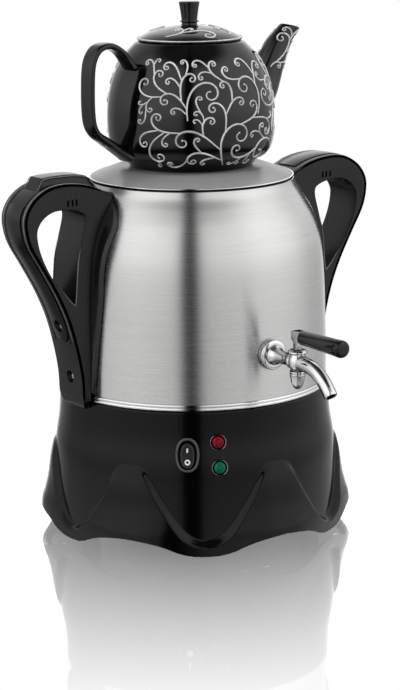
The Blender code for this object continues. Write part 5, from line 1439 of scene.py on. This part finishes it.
class URN_OT_tap(bpy.types.Operator):
    """Make the plug tap with its flange, lever and grip"""
    bl_idname = "tea_urn.tap"
    bl_label = "Tap"

    def execute(self, context):
        sizes = context.scene.urn_tap
        chrome = polished_metal("tap chrome", sizes.look, 0.045, 0.0)
        height, reach, seat = sizes.height, sizes.reach, TAP_SEAT
        flange = rounded([(0.0053, seat + 0.0018), (0.012, seat + 0.0018), (0.012, seat + 0.0038),
                          (0.0098, seat + 0.0046), (0.0053, seat + 0.0046)], 0.0008)
        piece("tap_flange", forwards(lathe(flange, 96), height), chrome, "urn", "chrome", 40.0)
        silicone = plain_finish("white silicone", (0.7, 0.69, 0.65), 0.45, 0.0, 600.0)
        gasket = [(0.0053, seat), (0.0095, seat), (0.0095, seat + 0.0015), (0.0053, seat + 0.0015)]
        piece("tap_outer_gasket", forwards(lathe(gasket, 64), height), silicone, "urn", "white_silicone")
        dress(self.body(height, reach, seat + 0.0049), chrome, "urn", "chrome", "tap_body")
        self.bonnet_and_cap(height, reach, chrome)
        self.lever(sizes)
        self.plug(sizes)
        self.grip(sizes.lever_height, reach + 0.0062 + 0.0003)
        return {"FINISHED"}

    @staticmethod
    def body(height, reach, collar):
        """Shank, tapered neck, ball, barrel and curved spout, joined into one casting."""
        section = [(0.0, 0.0985), (0.005, 0.0985), (0.005, collar), (0.0078, collar),
                   (0.0079, collar + 0.001), (0.0073, collar + 0.0018), (0.0068, collar + 0.0022),
                   (0.0059, collar + 0.0046), (0.0053, collar + 0.0075), (0.005, collar + 0.0105),
                   (0.0049, collar + 0.014)]
        first = asin(0.0049 / BALL_RADIUS)
        section += [(BALL_RADIUS * sin(angle), BALL_REACH - BALL_RADIUS * cos(angle))
                    for angle in (mix(first, pi * 0.8, step / 14) for step in range(15))]
        section.append((0.0, section[-1][1]))
        body = solid("tap_body", forwards(lathe(section, 64), height))
        low, high = height - BARREL_HALF, height + BARREL_HALF
        barrel = [(0.0, low), (0.005, low), (0.006, low + 0.0015), (0.0069, low + 0.0036), (0.0073, height),
                  (0.007, high - 0.0036), (0.0062, high - 0.0016), (0.0056, high - 0.0006), (0.0056, high),
                  (0.0, high)]
        path = smooth_curve([Vector((reach + far * SPOUT_REACH, height - drop * SPOUT_DROP))
                             for far, drop in SPOUT_PATH], 5)
        count = len(path) - 1
        outer = [mix(0.006, 0.0053, index / count) for index in range(count + 1)]
        outer[-1] -= 0.0003
        beyond = path + [path[-1] + (path[-1] - path[-2]).normalized() * 0.004]
        inner = [mix(0.0047, 0.004, min(index / count, 1.0)) for index in range(count + 2)]
        seat = [(0.0, low - 0.002), (0.0038, low - 0.002), (0.0046, high + 0.002), (0.0, high + 0.002)]
        for name, tool, operation, smooth in (("barrel", on_plug(lathe(barrel, 64), reach), "UNION", SMOOTH),
                                              ("spout", skin(pipe_rings(path, outer)), "UNION", SMOOTH),
                                              ("bore", skin(pipe_rings(beyond, inner)), "DIFFERENCE", SMOOTH),
                                              ("seat", on_plug(lathe(seat, 48), reach), "DIFFERENCE", 38.0)):
            body = cut(body, solid(name, tool), operation, smooth)
        return body

    @staticmethod
    def bonnet_and_cap(height, reach, chrome):
        """The disc under the lever, and the cap under the body with its eight facets."""
        low, high = height - 0.0068, height + 0.0068
        bonnet = rounded([(0.0024, high), (0.0068, high), (0.0077, high + 0.001), (0.0077, high + 0.0021),
                          (0.006, high + 0.0034), (0.0024, high + 0.0034)], 0.0004, 3)
        piece("tap_bonnet", on_plug(lathe(bonnet, 64), reach), chrome, "urn", "chrome", 38.0)
        rings = []
        for radius, drop, facets in CAP_ROWS:
            ring = []
            for angle in angles(64):
                flat = cos(pi / 8) / cos((angle % (pi / 4)) - pi / 8)
                spread = radius * mix(1.0, flat * 1.03, facets)
                ring.append((spread * sin(angle), -spread * cos(angle), low - drop))
            rings.append(ring)
        piece("tap_cap", on_plug(skin(rings), reach), chrome, "urn", "chrome", 20.0)

    @staticmethod
    def lever(sizes):
        """The lever's small head on its square post, with the tang that the grip is pushed on."""
        reach, height = sizes.reach, sizes.lever_height
        side = ((-0.0034, 0.0046), (-0.003, -0.0022), (-0.001, -0.0036), (0.006, -0.0036), (0.006, 0.0046))
        outline = rounded([Vector((-(reach + far), height + rise)) for far, rise in side], 0.0007, 3)
        head = soften(solid("tap_lever", prism(tuples(outline), "x", -0.0038, 0.0038)), 0.0006, 2, 60.0)
        foot, top = sizes.height + 0.0108, height - 0.001
        post = [(-(reach + far), level)
                for far, level in ((-0.0024, foot), (0.0034, foot), (0.0034, top), (-0.0024, top))]
        post = soften(solid("post", prism(post, "x", -0.0027, 0.0027)), 0.0005, 2, 60.0)
        start = reach + 0.0062
        tang = [(0.0, start - 0.004), (0.003, start - 0.004), (0.003, start + 0.014), (0.0, start + 0.014)]
        head = cut(head, post, "UNION")
        head = cut(head, solid("tang", forwards(lathe(tang, 32), height)), "UNION")
        look = polished_metal("lever chrome", toned(sizes.look, 0.7), 0.1, 0.0)
        dress(head, look, "tap_handle", "chrome", "tap_lever")

    @staticmethod
    def plug(sizes):
        """The tapered key, with a stem up to the lever."""
        low, high, top = sizes.height - BARREL_HALF, sizes.height + BARREL_HALF, sizes.lever_height
        section = [(0.0, low), (0.0035, low), (0.0042, high), (0.0021, high), (0.0021, top), (0.0, top)]
        look = polished_metal("plug plate", sizes.look, 0.08)
        piece("tap_plug", on_plug(lathe(section, 48), sizes.reach), look, "tap_handle", "brass")

    @staticmethod
    def grip(height, root):
        """The lever's grip, a tapered bar with a line near its end."""
        end = root + GRIP_LENGTH
        section = [(0.0033, root), (0.005, root), (0.0055, root + 0.0004), (0.0057, root + 0.0012),
                   (0.00665, end - 0.0075), (0.0067, end - 0.0066), (0.0063, end - 0.0063),
                   (0.0063, end - 0.006), (0.0068, end - 0.0057), (0.0069, end - 0.003),
                   (0.0066, end - 0.0014), (0.0058, end - 0.0004), (0.0046, end), (0.0, end),
                   (0.0, root + 0.0143), (0.0033, root + 0.0143)]
        look = gloss_moulding("grip black", (0.003, 0.003, 0.0031), 0.12, 0.36)
        piece("tap_grip", forwards(lathe(section, 64), height), look, "tap_handle", "satin_black", 40.0)


# Teapot

POT_SIDE = ((0.0, 0.735), (0.045, 0.79), (0.1, 0.9), (0.16, 0.96), (0.25, 0.99), (0.38, 1.0), (0.52, 0.988),
            (0.66, 0.948), (0.79, 0.878), (0.9, 0.778), (1.0, 0.635))
POT_HANDLE = ((0.6, 0.82), (0.68, 0.93), (0.77, 0.99), (0.845, 1.0), (0.915, 0.975), (0.965, 0.91),
              (0.99, 0.82), (1.0, 0.66), (1.0, 0.5), (0.985, 0.385), (0.94, 0.31), (0.86, 0.255),
              (0.76, 0.19), (0.64, 0.11))
POT_SPOUT = ((0.5, 0.4), (0.66, 0.53), (0.74, 0.63), (0.81, 0.76), (0.88, 0.87), (0.95, 0.95), (1.0, 1.0))
POT_LID_CROWN = 0.0117
POT_LID_DOME = ((0.0405, 0.24), (0.0364, 0.43), (0.032, 0.59), (0.0254, 0.76), (0.019, 0.875),
                (0.0127, 0.955), (0.0085, 1.0))
POT_KNOB = ((0.0066, 0.0004), (0.0062, 0.0016), (0.0064, 0.0022), (0.0073, 0.0025), (0.0075, 0.0031),
            (0.0072, 0.0037), (0.0065, 0.0041), (0.0066, 0.0062), (0.0074, 0.0122), (0.0083, 0.0172),
            (0.0084, 0.018), (0.008, 0.0187), (0.007, 0.0191))
POT_SPOUT_RADII = (1.0, 0.86, 0.7, 0.58, 0.49, 0.43, 0.42)
POT_MOUTH, POT_LID_SKIRT, POT_LID_GAP = 0.0385, 0.0379, 0.0003
POT_WALL, SPOUT_WALL, STRAP_HALF = 0.004, 0.0024, 0.0085


def pot_side(pot, steps=7):
    """Points up the teapot's side, as radius and height."""
    return [Vector((share * pot.radius, pot.foot + level * pot.height))
            for level, share in smooth_curve(POT_SIDE, steps)]


def pot_radius_at(height, pot):
    return read_table([(point.y, point.x) for point in pot_side(pot)], height)


def spout_rings(pot, wall=0.0, steps=48):
    """Rings up the teapot's spout; the lowest are drawn out to lie in the pot's wall."""
    path = smooth_curve([Vector((far * 0.1005, pot.foot + rise * 0.1065)) for far, rise in POT_SPOUT], 6)
    radii = [radius.y for radius in smooth_curve(list(enumerate(POT_SPOUT_RADII)), 6)]
    rings = []
    for index, (point, share) in enumerate(zip(path, radii)):
        level = index / (len(path) - 1)
        along = heading(path, index).lerp(Vector((0.25, 1.0)).normalized(), level ** 2).normalized()
        radius = 0.02 * share - wall
        ring = []
        for angle in angles(steps):
            spot = Vector((point.x + along.y * radius * cos(angle), radius * sin(angle),
                           point.y - along.x * radius * cos(angle)))
            least = pot_radius_at(spot.z, pot) - 0.002
            around = sqrt(max(least ** 2 - spot.y ** 2, 0.0))
            if spot.z < pot.foot + pot.height and spot.x < around:
                spot.x = around
            ring.append(spot)
        rings.append(ring)
    return rings


class URN_OT_teapot(bpy.types.Operator):
    """Make the glazed teapot and its lid"""
    bl_idname = "tea_urn.teapot"
    bl_label = "Teapot"

    def execute(self, context):
        pot = context.scene.urn_pot
        glaze = glazed("black glaze", pot.look)
        body = join(self.bowl(pot), self.strap(pot), self.spout(pot))
        piece("teapot_body", body, glaze, "teapot", "black_ceramic", 38.0)
        self.lid(glaze, pot.foot + pot.height + POT_LID_GAP)
        return {"FINISHED"}

    @staticmethod
    def bowl(pot):
        outer = pot_side(pot)
        low, top = pot.foot, pot.foot + pot.height
        inner = [Vector((point.x - POT_WALL, point.y)) for point in outer
                 if low + 0.009 < point.y < top - 0.004 and point.x > 0.0435]
        section = vectors((0.0, low + 0.0016), (0.044, low + 0.0016), (0.0446, low)) + outer[:-1]
        section += vectors((outer[-1].x + 0.0002, top - 0.0006), (outer[-1].x - 0.0006, top), (0.0392, top),
                           (POT_MOUTH, top - 0.0008), (POT_MOUTH, top - 0.004))
        section += inner[::-1] + vectors((inner[0].x * 0.93, low + 0.0056), (0.0, low + 0.0056))
        return lathe(section, 224)

    @staticmethod
    def strap(pot):
        """The strap handle, with soft edges and roots that sit in the wall."""
        path = smooth_curve([Vector((-far * 0.097, pot.foot + rise * pot.height))
                             for far, rise in POT_HANDLE], 8)
        rings = []
        for index, point in enumerate(path):
            along = heading(path, index)
            level = index / (len(path) - 1)
            half = mix(0.0054, 0.0085, max(level - 0.75, 0.0) * 4) / 2
            flare = max(0.06 - min(level, 1 - level), 0.0) / 0.06
            wide = STRAP_HALF * (1 + 0.25 * flare ** 2)
            ring = []
            for angle in angles(40):
                out = copysign(half * abs(sin(angle)) ** 0.75, sin(angle))
                ring.append((point.x - along.y * out, copysign(wide * abs(cos(angle)) ** 0.45, cos(angle)),
                             point.y + along.x * out))
            if max(sqrt(x * x + y * y) - pot_radius_at(z, pot) for x, y, z in ring) > -0.0032:
                rings.append(ring)
        return skin(rings)

    @staticmethod
    def spout(pot):
        """The spout, open at its tip."""
        outer, inner = spout_rings(pot), spout_rings(pot, SPOUT_WALL)
        lip = list(zip(outer[-1], inner[-1]))
        lift = Vector((0.0, 0.0, 0.0007))
        rings = outer[:-1] + [[spot - lift for spot in outer[-1]]]
        rings += [[spot.lerp(hole, share) + lift * rise for spot, hole in lip]
                  for share, rise in ((0.35, 0.3), (0.8, 0.1))]
        return skin(rings + inner[12:-1][::-1])

    @staticmethod
    def lid(glaze, seat):
        """The domed lid with its skirt and its waisted knob."""
        crown, skirt = seat + POT_LID_CROWN, POT_LID_SKIRT
        dome = [(0.0424, seat + 0.0014)]
        dome += [(radius, seat + rise * POT_LID_CROWN) for radius, rise in POT_LID_DOME]
        knob = [(radius, crown + rise) for radius, rise in POT_KNOB]
        section = [(0.0412, seat), (0.0422, seat + 0.0004), *tuples(smooth_curve(dome, 4)),
                   *tuples(smooth_curve(knob, 3)), (0.0, crown + 0.0191), (0.0, crown - 0.003),
                   (skirt * 0.6, seat + 0.0043), (skirt - 0.003, seat - 0.0015),
                   (skirt - 0.003, seat - 0.0072), (skirt - 0.0024, seat - 0.008),
                   (skirt - 0.0006, seat - 0.008), (skirt, seat - 0.0074), (skirt, seat)]
        piece("teapot_lid", lathe(section, 192), glaze, "teapot_lid", "black_ceramic")


# Scrollwork; a root is its place on the flat patch, its heading, the hand it curls to and its length

BODY_ROOTS = (((-0.064, 0.003), 1.7, 1, 0.078), ((-0.062, 0.004), 0.8, -1, 0.08),
              ((-0.008, 0.002), 2.1, -1, 0.095), ((-0.006, 0.003), 1.0, 1, 0.1),
              ((0.052, 0.003), 1.9, 1, 0.09), ((0.054, 0.004), 0.9, -1, 0.08),
              ((-0.04, 0.044), 1.7, -1, 0.085), ((0.02, 0.046), 1.2, 1, 0.08),
              ((0.082, 0.034), 1.6, 1, 0.08))
SPOUT_ROOTS = (((-0.006, 0.001), 1.3, -1, 0.024), ((0.002, 0.003), 1.5, 1, 0.022),
               ((0.0, 0.034), 1.6, -1, 0.018))
SPOUT_FIRST = 14


class Scrolls:
    """Grows curled lines over a flat patch without letting them cross."""

    def __init__(self, seed, width, height, gap, plain=lambda spot: False):
        self.random = random.Random(seed)
        self.width, self.height, self.gap = width, height, gap
        self.plain = plain
        self.lines = []
        self.cells = {}

    def key(self, point):
        return int(point[0] // self.gap), int(point[1] // self.gap)

    def free(self, point, parent):
        """Whether a point lies on the patch with only the parent's line near it."""
        if not (abs(point[0]) < self.width / 2 and 0 < point[1] < self.height):
            return False
        if self.plain(point):
            return False
        column, row = self.key(point)
        for across in (-1, 0, 1):
            for up in (-1, 0, 1):
                for other, owner in self.cells.get((column + across, row + up), ()):
                    near = (other[0] - point[0]) ** 2 + (other[1] - point[1]) ** 2 < self.gap ** 2
                    if near and owner != parent:
                        return False
        return True

    @staticmethod
    def draw(start, heading, size, hand, curl, straight=0.35):
        """A line that starts nearly straight and winds up tighter and tighter."""
        count = max(int(size / 0.0009), 14)
        step = size / count
        points = [start]
        spot = start
        for index in range(count):
            level = (index + 0.5) / count
            angle = heading + hand * (curl * level ** 2 + straight * sin(pi * level))
            pace = step * (1.25 - 0.85 * level)
            spot = (spot[0] + cos(angle) * pace, spot[1] + sin(angle) * pace)
            points.append(spot)
        return points

    def add(self, points, parent=None, skip=4):
        """Keep a line if nothing but its parent's root is near it."""
        for index, point in enumerate(points):
            if not self.free(point, parent if index < skip else None):
                return False
        least = (self.gap * 0.72) ** 2
        if any((points[a][0] - points[b][0]) ** 2 + (points[a][1] - points[b][1]) ** 2 < least
               for a in range(0, len(points), 2) for b in range(a + 7, len(points), 2)):
            return False
        for point in points:
            self.cells.setdefault(self.key(point), []).append((point, len(self.lines)))
        self.lines.append(points)
        return True

    def grow(self, roots, tries):
        """Large scrolls from the roots first, then smaller and smaller ones from what is there."""
        for start, heading, hand, size in roots:
            self.add(self.draw(start, heading, size, hand, 8.2))
        for count in range(tries):
            if not self.lines:
                return self.lines
            size = mix(0.066, 0.0085, (count / tries) ** 0.6) * self.random.uniform(0.85, 1.15)
            parent = self.random.randrange(len(self.lines))
            line = self.lines[parent]
            spot = int(self.random.uniform(0.03, 0.55) * len(line))
            before, here = line[max(spot - 1, 0)], line[max(spot, 1)]
            heading = atan2(here[1] - before[1], here[0] - before[0])
            hand = self.random.choice((-1, 1))
            lean = self.random.uniform(0.15, 0.75)
            tight = min(max((size - 0.0085) / 0.026, 0.0), 1.0)
            curl = mix(3.6, 8.0, tight) * self.random.uniform(0.92, 1.06)
            straight = self.random.uniform(-0.5, 0.1)
            self.add(self.draw(line[spot], heading + hand * lean, size, hand, curl, straight), parent)
        return self.lines


def lines_object(name, lines, taper=0.8):
    """A curve object with a spline for each line of points, thickest in its middle."""
    data = bpy.data.curves.new(name, "CURVE")
    data.dimensions = "3D"
    for line in lines:
        spline = data.splines.new("POLY")
        spline.points.add(len(line) - 1)
        size = min(len(line) / 40, 1.0)
        for index, (point, spot) in enumerate(zip(spline.points, line)):
            level = index / (len(line) - 1)
            swell = 0.68 + 0.52 * sin(pi * level ** 0.8)
            point.co = (*(spot + axis_place), 1.0)
            point.radius = mix(0.62, 1.0, size) * swell * mix(1.0, taper, level ** 2)
    return new_object(name, data)


class URN_OT_scrollwork(bpy.types.Operator):
    """Draw raised silver scrolls over the teapot, its spout and its lid"""
    bl_idname = "tea_urn.scrollwork"
    bl_label = "Scrollwork"

    def execute(self, context):
        pot = context.scene.urn_pot
        silver = silver_line("silver line", pot.silver)
        recipe = line_recipe(pot.wire, pot.wire * 1.15)
        for name, lines, body in (("teapot_scrolls", self.body(pot), "teapot"),
                                  ("spout_scrolls", self.spout(pot), "teapot"),
                                  ("lid_scrolls", self.lid(pot), "teapot_lid")):
            dress(recipe.run(lines_object(name, lines), silver, 60.0), silver, body, "chrome")
        return {"FINISHED"}

    @staticmethod
    def body(pot):
        """Scrolls on the front and the back, with a plain zone beside the handle."""
        side = [point for point in pot_side(pot) if point.y > pot.foot + 0.004]
        lengths = run_lengths(side)
        table_r, table_z = (list(zip(lengths, values)) for values in zip(*side))
        made = []
        for middle, seed, plain in ((0.0, 11, lambda spot: spot[0] < -0.081),
                                    (pi, 29, lambda spot: spot[0] > 0.062)):
            patch = Scrolls(seed, 0.196, lengths[-1] - 0.014, 0.0025, plain)
            for line in patch.grow(BODY_ROOTS, pot.scrolls):
                made.append([turned(read_table(table_r, up) + 0.0001, middle + across / 0.064,
                                    read_table(table_z, up)) for across, up in line])
        return made

    @staticmethod
    def spout(pot):
        """Scrolls up both sides of the spout."""
        rings = spout_rings(pot)[SPOUT_FIRST:-2]
        count = len(rings[0])
        middles = [sum(ring, Vector()) / count for ring in rings]
        lengths = run_lengths(middles)
        made = []
        for face, seed in ((0.25, 5), (0.75, 17)):
            def place_on(spot):
                row = 0
                while row < len(lengths) - 2 and lengths[row + 1] < spot[1]:
                    row += 1
                share = min(max((spot[1] - lengths[row]) / (lengths[row + 1] - lengths[row]), 0.0), 1.0)
                reach = (rings[row][0] - middles[row]).length
                around = (face * count + spot[0] / (2 * pi * reach) * count) % count
                start = int(around)
                low, high = (ring[start % count].lerp(ring[(start + 1) % count], around - start)
                             for ring in rings[row:row + 2])
                return low.lerp(high, share)

            patch = Scrolls(seed, 0.027, lengths[-1], 0.0023)
            made += [[place_on(spot) for spot in line] for line in patch.grow(SPOUT_ROOTS, 900)]
        return made

    @staticmethod
    def lid(pot):
        """Scrolls on the lid's dome, and a silver ring round it that is partly a silver rim line and partly a
        painted highlight on the lid's edge.
        """
        seat = pot.foot + pot.height + POT_LID_GAP
        dome = [(radius, seat + rise * POT_LID_CROWN) for radius, rise in reversed(POT_LID_DOME)]
        roots = [((place, 0.003), 0.4, 1, 0.04) for place in (-0.07, -0.03, 0.012, 0.05)]
        made = []
        for line in Scrolls(3, 0.165, 0.024, 0.003).grow(roots, 260):
            made.append([turned(0.0395 - up, across / 0.0265, read_table(dome, 0.0395 - up) + 0.0001)
                         for across, up in line])
        # The ring round the lid: partly a silver rim line, partly a painted highlight.
        return made + [[turned(0.0422, radians(angle), seat + 0.0018) for angle in range(0, 364, 4)]]


# Pieces that lie inside, and the stage

class URN_OT_inner(bpy.types.Operator):
    """Give the pieces inside the base and the urn their finishes"""
    bl_idname = "tea_urn.inner"
    bl_label = "Inner pieces"

    def execute(self, context):
        for look, *nodes in (
                (plain_finish("cast aluminium", (0.5, 0.5, 0.51), 0.5, 1.0, 380.0), "heat_plate"),
                (plain_finish("dull steel", (0.5, 0.5, 0.49), 0.38, 1.0, 320.0), "heating_element", "tie_rod",
                 "tie_nut"),
                (plain_finish("black phenolic", (0.02, 0.02, 0.02), 0.5, 0.0, 500.0), "thermostat_boil",
                 "thermostat_keep_warm", "thermal_cutout", "red_lamp_nut", "green_lamp_nut"),
                (satin_moulding("cover black", (0.016, 0.016, 0.016), 0.45, 1500.0), "bottom_cover"),
                (plain_finish("white nylon", (0.7, 0.69, 0.65), 0.5, 0.0, 300.0), "terminal_block"),
                (plain_finish("inner silicone", (0.7, 0.69, 0.65), 0.45, 0.0, 600.0), "tap_inner_washer"),
                (plain_finish("nut brass", (0.62, 0.45, 0.19), 0.32, 1.0, 700.0), "tap_nut")):
            for node in nodes:
                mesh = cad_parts[node].data
                mesh.materials.clear()
                mesh.materials.append(look)
        return {"FINISHED"}


# Brightness round the urn by degrees from the camera, and the lamps: name, azimuth from the camera,
# elevation, distance, size and power

STUDIO = ((-180, 1.0), (-168, 1.0), (-155, 0.45), (-124, 0.35), (-100, 0.62), (-79, 0.92), (-49, 0.97),
          (-27, 0.87), (-16.5, 0.8), (-11.5, 0.58), (-8.5, 0.13), (-5.5, 0.0), (1, 0.0), (4, 0.12), (7, 0.5),
          (12, 0.68), (22, 0.76), (45, 0.84), (62, 0.97), (79, 1.0), (100, 0.91), (124, 0.66), (150, 0.62),
          (166, 1.0), (180, 1.0))
LAMPS = (("left lamp", -54.0, 30.0, 1.5, (0.5, 1.1), 15.0),
         ("right lamp", 72.0, 42.0, 1.5, (0.45, 0.45), 13.0),
         ("top lamp", 0.0, 84.0, 1.6, (1.2, 1.2), 14.0))


class URN_OT_stage(bpy.types.Operator):
    """Set up the floor, the soft lamps, the white surroundings and the camera"""
    bl_idname = "tea_urn.stage"
    bl_label = "Stage"

    def execute(self, context):
        stage = context.scene.urn_stage
        self.floor()
        self.world(context.scene, stage)
        self.lamps(stage)
        self.camera(context.scene, stage)
        context.scene.view_settings.view_transform = "Standard"
        return {"FINISHED"}

    @staticmethod
    def floor():
        """A mirror that fades out away from the urn."""
        shape = bmesh.new()
        bmesh.ops.create_circle(shape, cap_ends=True, radius=2.4, segments=96)
        mesh = bpy.data.meshes.new("floor")
        shape.to_mesh(mesh)
        shape.free()
        floor = new_object("floor", mesh)
        floor.location = (0.0, 0.0, -0.0002)
        made = Finish("mirror floor", (0.97, 0.97, 0.97), 0.035, 1.0)
        sheet, tree = made.sheet, made.made.node_tree
        place = sheet.node("ShaderNodeTexCoord", output="Object")
        far = sheet.vector("LENGTH", sheet.vector("SUBTRACT", place, tuple(axis_place)), output="Value")
        clear = sheet.node("ShaderNodeBsdfTransparent")
        fade = (far * 2.25).clamped()
        mirror = Wire(sheet, made.shader.outputs[0])
        blend = sheet.node("ShaderNodeMixShader", None, {0: fade, 1: mirror, 2: clear})
        tree.links.new(blend.socket, tree.nodes["Material Output"].inputs["Surface"])
        mesh.materials.append(made.made)

    @staticmethod
    def world(scene, stage):
        """White to the camera; to the urn, light and dark bands round it that fade above and below."""
        world = bpy.data.worlds.new("studio")
        world.use_nodes = True
        scene.world = world
        sheet = Sheet(world.node_tree)
        background = world.node_tree.nodes["Background"]
        seen = sheet.node("ShaderNodeLightPath", output="Is Camera Ray")
        mirrored = (seen.of("Is Glossy Ray") + seen.of("Is Transmission Ray")).clamped()
        way = sheet.node("ShaderNodeTexCoord", output="Generated")
        across = sheet.node("ShaderNodeSeparateXYZ", None, {0: way})
        angle = across.math("ARCTAN2", across, across.of("Y") * -1)
        bearing = (angle - stage.azimuth) / (2 * pi) + 1.5
        share = bearing.math("FRACT", bearing)
        stops = [(0.5 + turn / 360, (light,) * 3) for turn, light in STUDIO]
        around = sheet.node("ShaderNodeValToRGB", {"stops": stops}, {"Fac": share})
        level = across.of("Z")
        rise = (0.85 + level.smooth(-0.22, 0.17) * 0.62) * (1 - level.smooth(0.72, 0.92) * 0.93)
        rise = rise * (0.06 + level.smooth(-0.56, -0.36) * 0.94)
        strength = seen + (1 - seen) * (mirrored * around * rise + (1 - mirrored) * 0.62)
        world.node_tree.links.new(strength.socket, background.inputs["Strength"])
        background.inputs["Color"].default_value = (1.0, 1.0, 1.0, 1.0)

    @staticmethod
    def lamps(stage):
        """Two large soft lamps, one on each side of the camera, and one above."""
        aim = Vector((0.0, axis_place.y, 0.2))
        for name, azimuth, elevation, distance, size, power in LAMPS:
            data = bpy.data.lights.new(name, "AREA")
            data.shape = "RECTANGLE"
            data.size, data.size_y = size
            data.energy = power * stage.key
            lamp = new_object(name, data)
            level = radians(elevation)
            lamp.location = aim + turned(distance * cos(level), stage.azimuth + radians(azimuth),
                                         distance * sin(level))
            lamp.rotation_euler = (aim - lamp.location).to_track_quat("-Z", "Y").to_euler()
            lamp.visible_glossy = False

    @staticmethod
    def camera(scene, stage):
        data = bpy.data.cameras.new("camera")
        data.lens = stage.lens
        data.sensor_width = 36.0
        data.clip_start = 0.05
        camera = new_object("camera", data)
        across, lift = stage.azimuth, stage.elevation
        back = Vector((sin(across) * cos(lift), -cos(across) * cos(lift), sin(lift)))
        right = Vector((cos(across), sin(across), 0.0))
        up = back.cross(right)
        rolled = right * cos(stage.roll) + up * sin(stage.roll)
        upright = up * cos(stage.roll) - right * sin(stage.roll)
        place = axis_place + Vector((0.0, 0.0, stage.target)) + back * stage.distance + rolled * stage.side
        facing = Matrix((rolled, upright, back)).transposed().to_4x4()
        camera.matrix_world = Matrix.Translation(place) @ facing
        scene.camera = camera


class URN_PT_sidebar(bpy.types.Panel):
    """Lists the steps that build the tea urn"""
    bl_idname = "URN_PT_sidebar"
    bl_label = "Tea urn"
    bl_space_type = "VIEW_3D"
    bl_region_type = "UI"
    bl_category = "Tea urn"

    def draw(self, context):
        for kind in OPERATORS:
            self.layout.operator(kind.bl_idname)
        for name, kind in GROUPS.items():
            box = self.layout.box()
            box.label(text=kind.__name__)
            for field in kind.__annotations__:
                box.prop(getattr(context.scene, name), field)


GROUPS = {"urn_base": BaseSizes, "urn_urn": UrnSizes, "urn_handles": HandleSizes, "urn_tap": TapSizes,
          "urn_pot": PotSizes, "urn_stage": StageSizes}
OPERATORS = (URN_OT_stage, URN_OT_base, URN_OT_urn, URN_OT_handles, URN_OT_panel, URN_OT_inlet, URN_OT_tap,
             URN_OT_teapot, URN_OT_scrollwork, URN_OT_inner)


def register():
    for kind in (*GROUPS.values(), *OPERATORS, URN_PT_sidebar):
        bpy.utils.register_class(kind)
    for name, kind in GROUPS.items():
        setattr(bpy.types.Scene, name, PointerProperty(type=kind))


def unregister():
    for name in GROUPS:
        delattr(bpy.types.Scene, name)
    for kind in (URN_PT_sidebar, *reversed(OPERATORS), *GROUPS.values()):
        bpy.utils.unregister_class(kind)


def main():
    register()
    for kind in OPERATORS:
        group, action = kind.bl_idname.split(".")
        getattr(getattr(bpy.ops, group), action)()


if __name__ == "__main__":
    main()
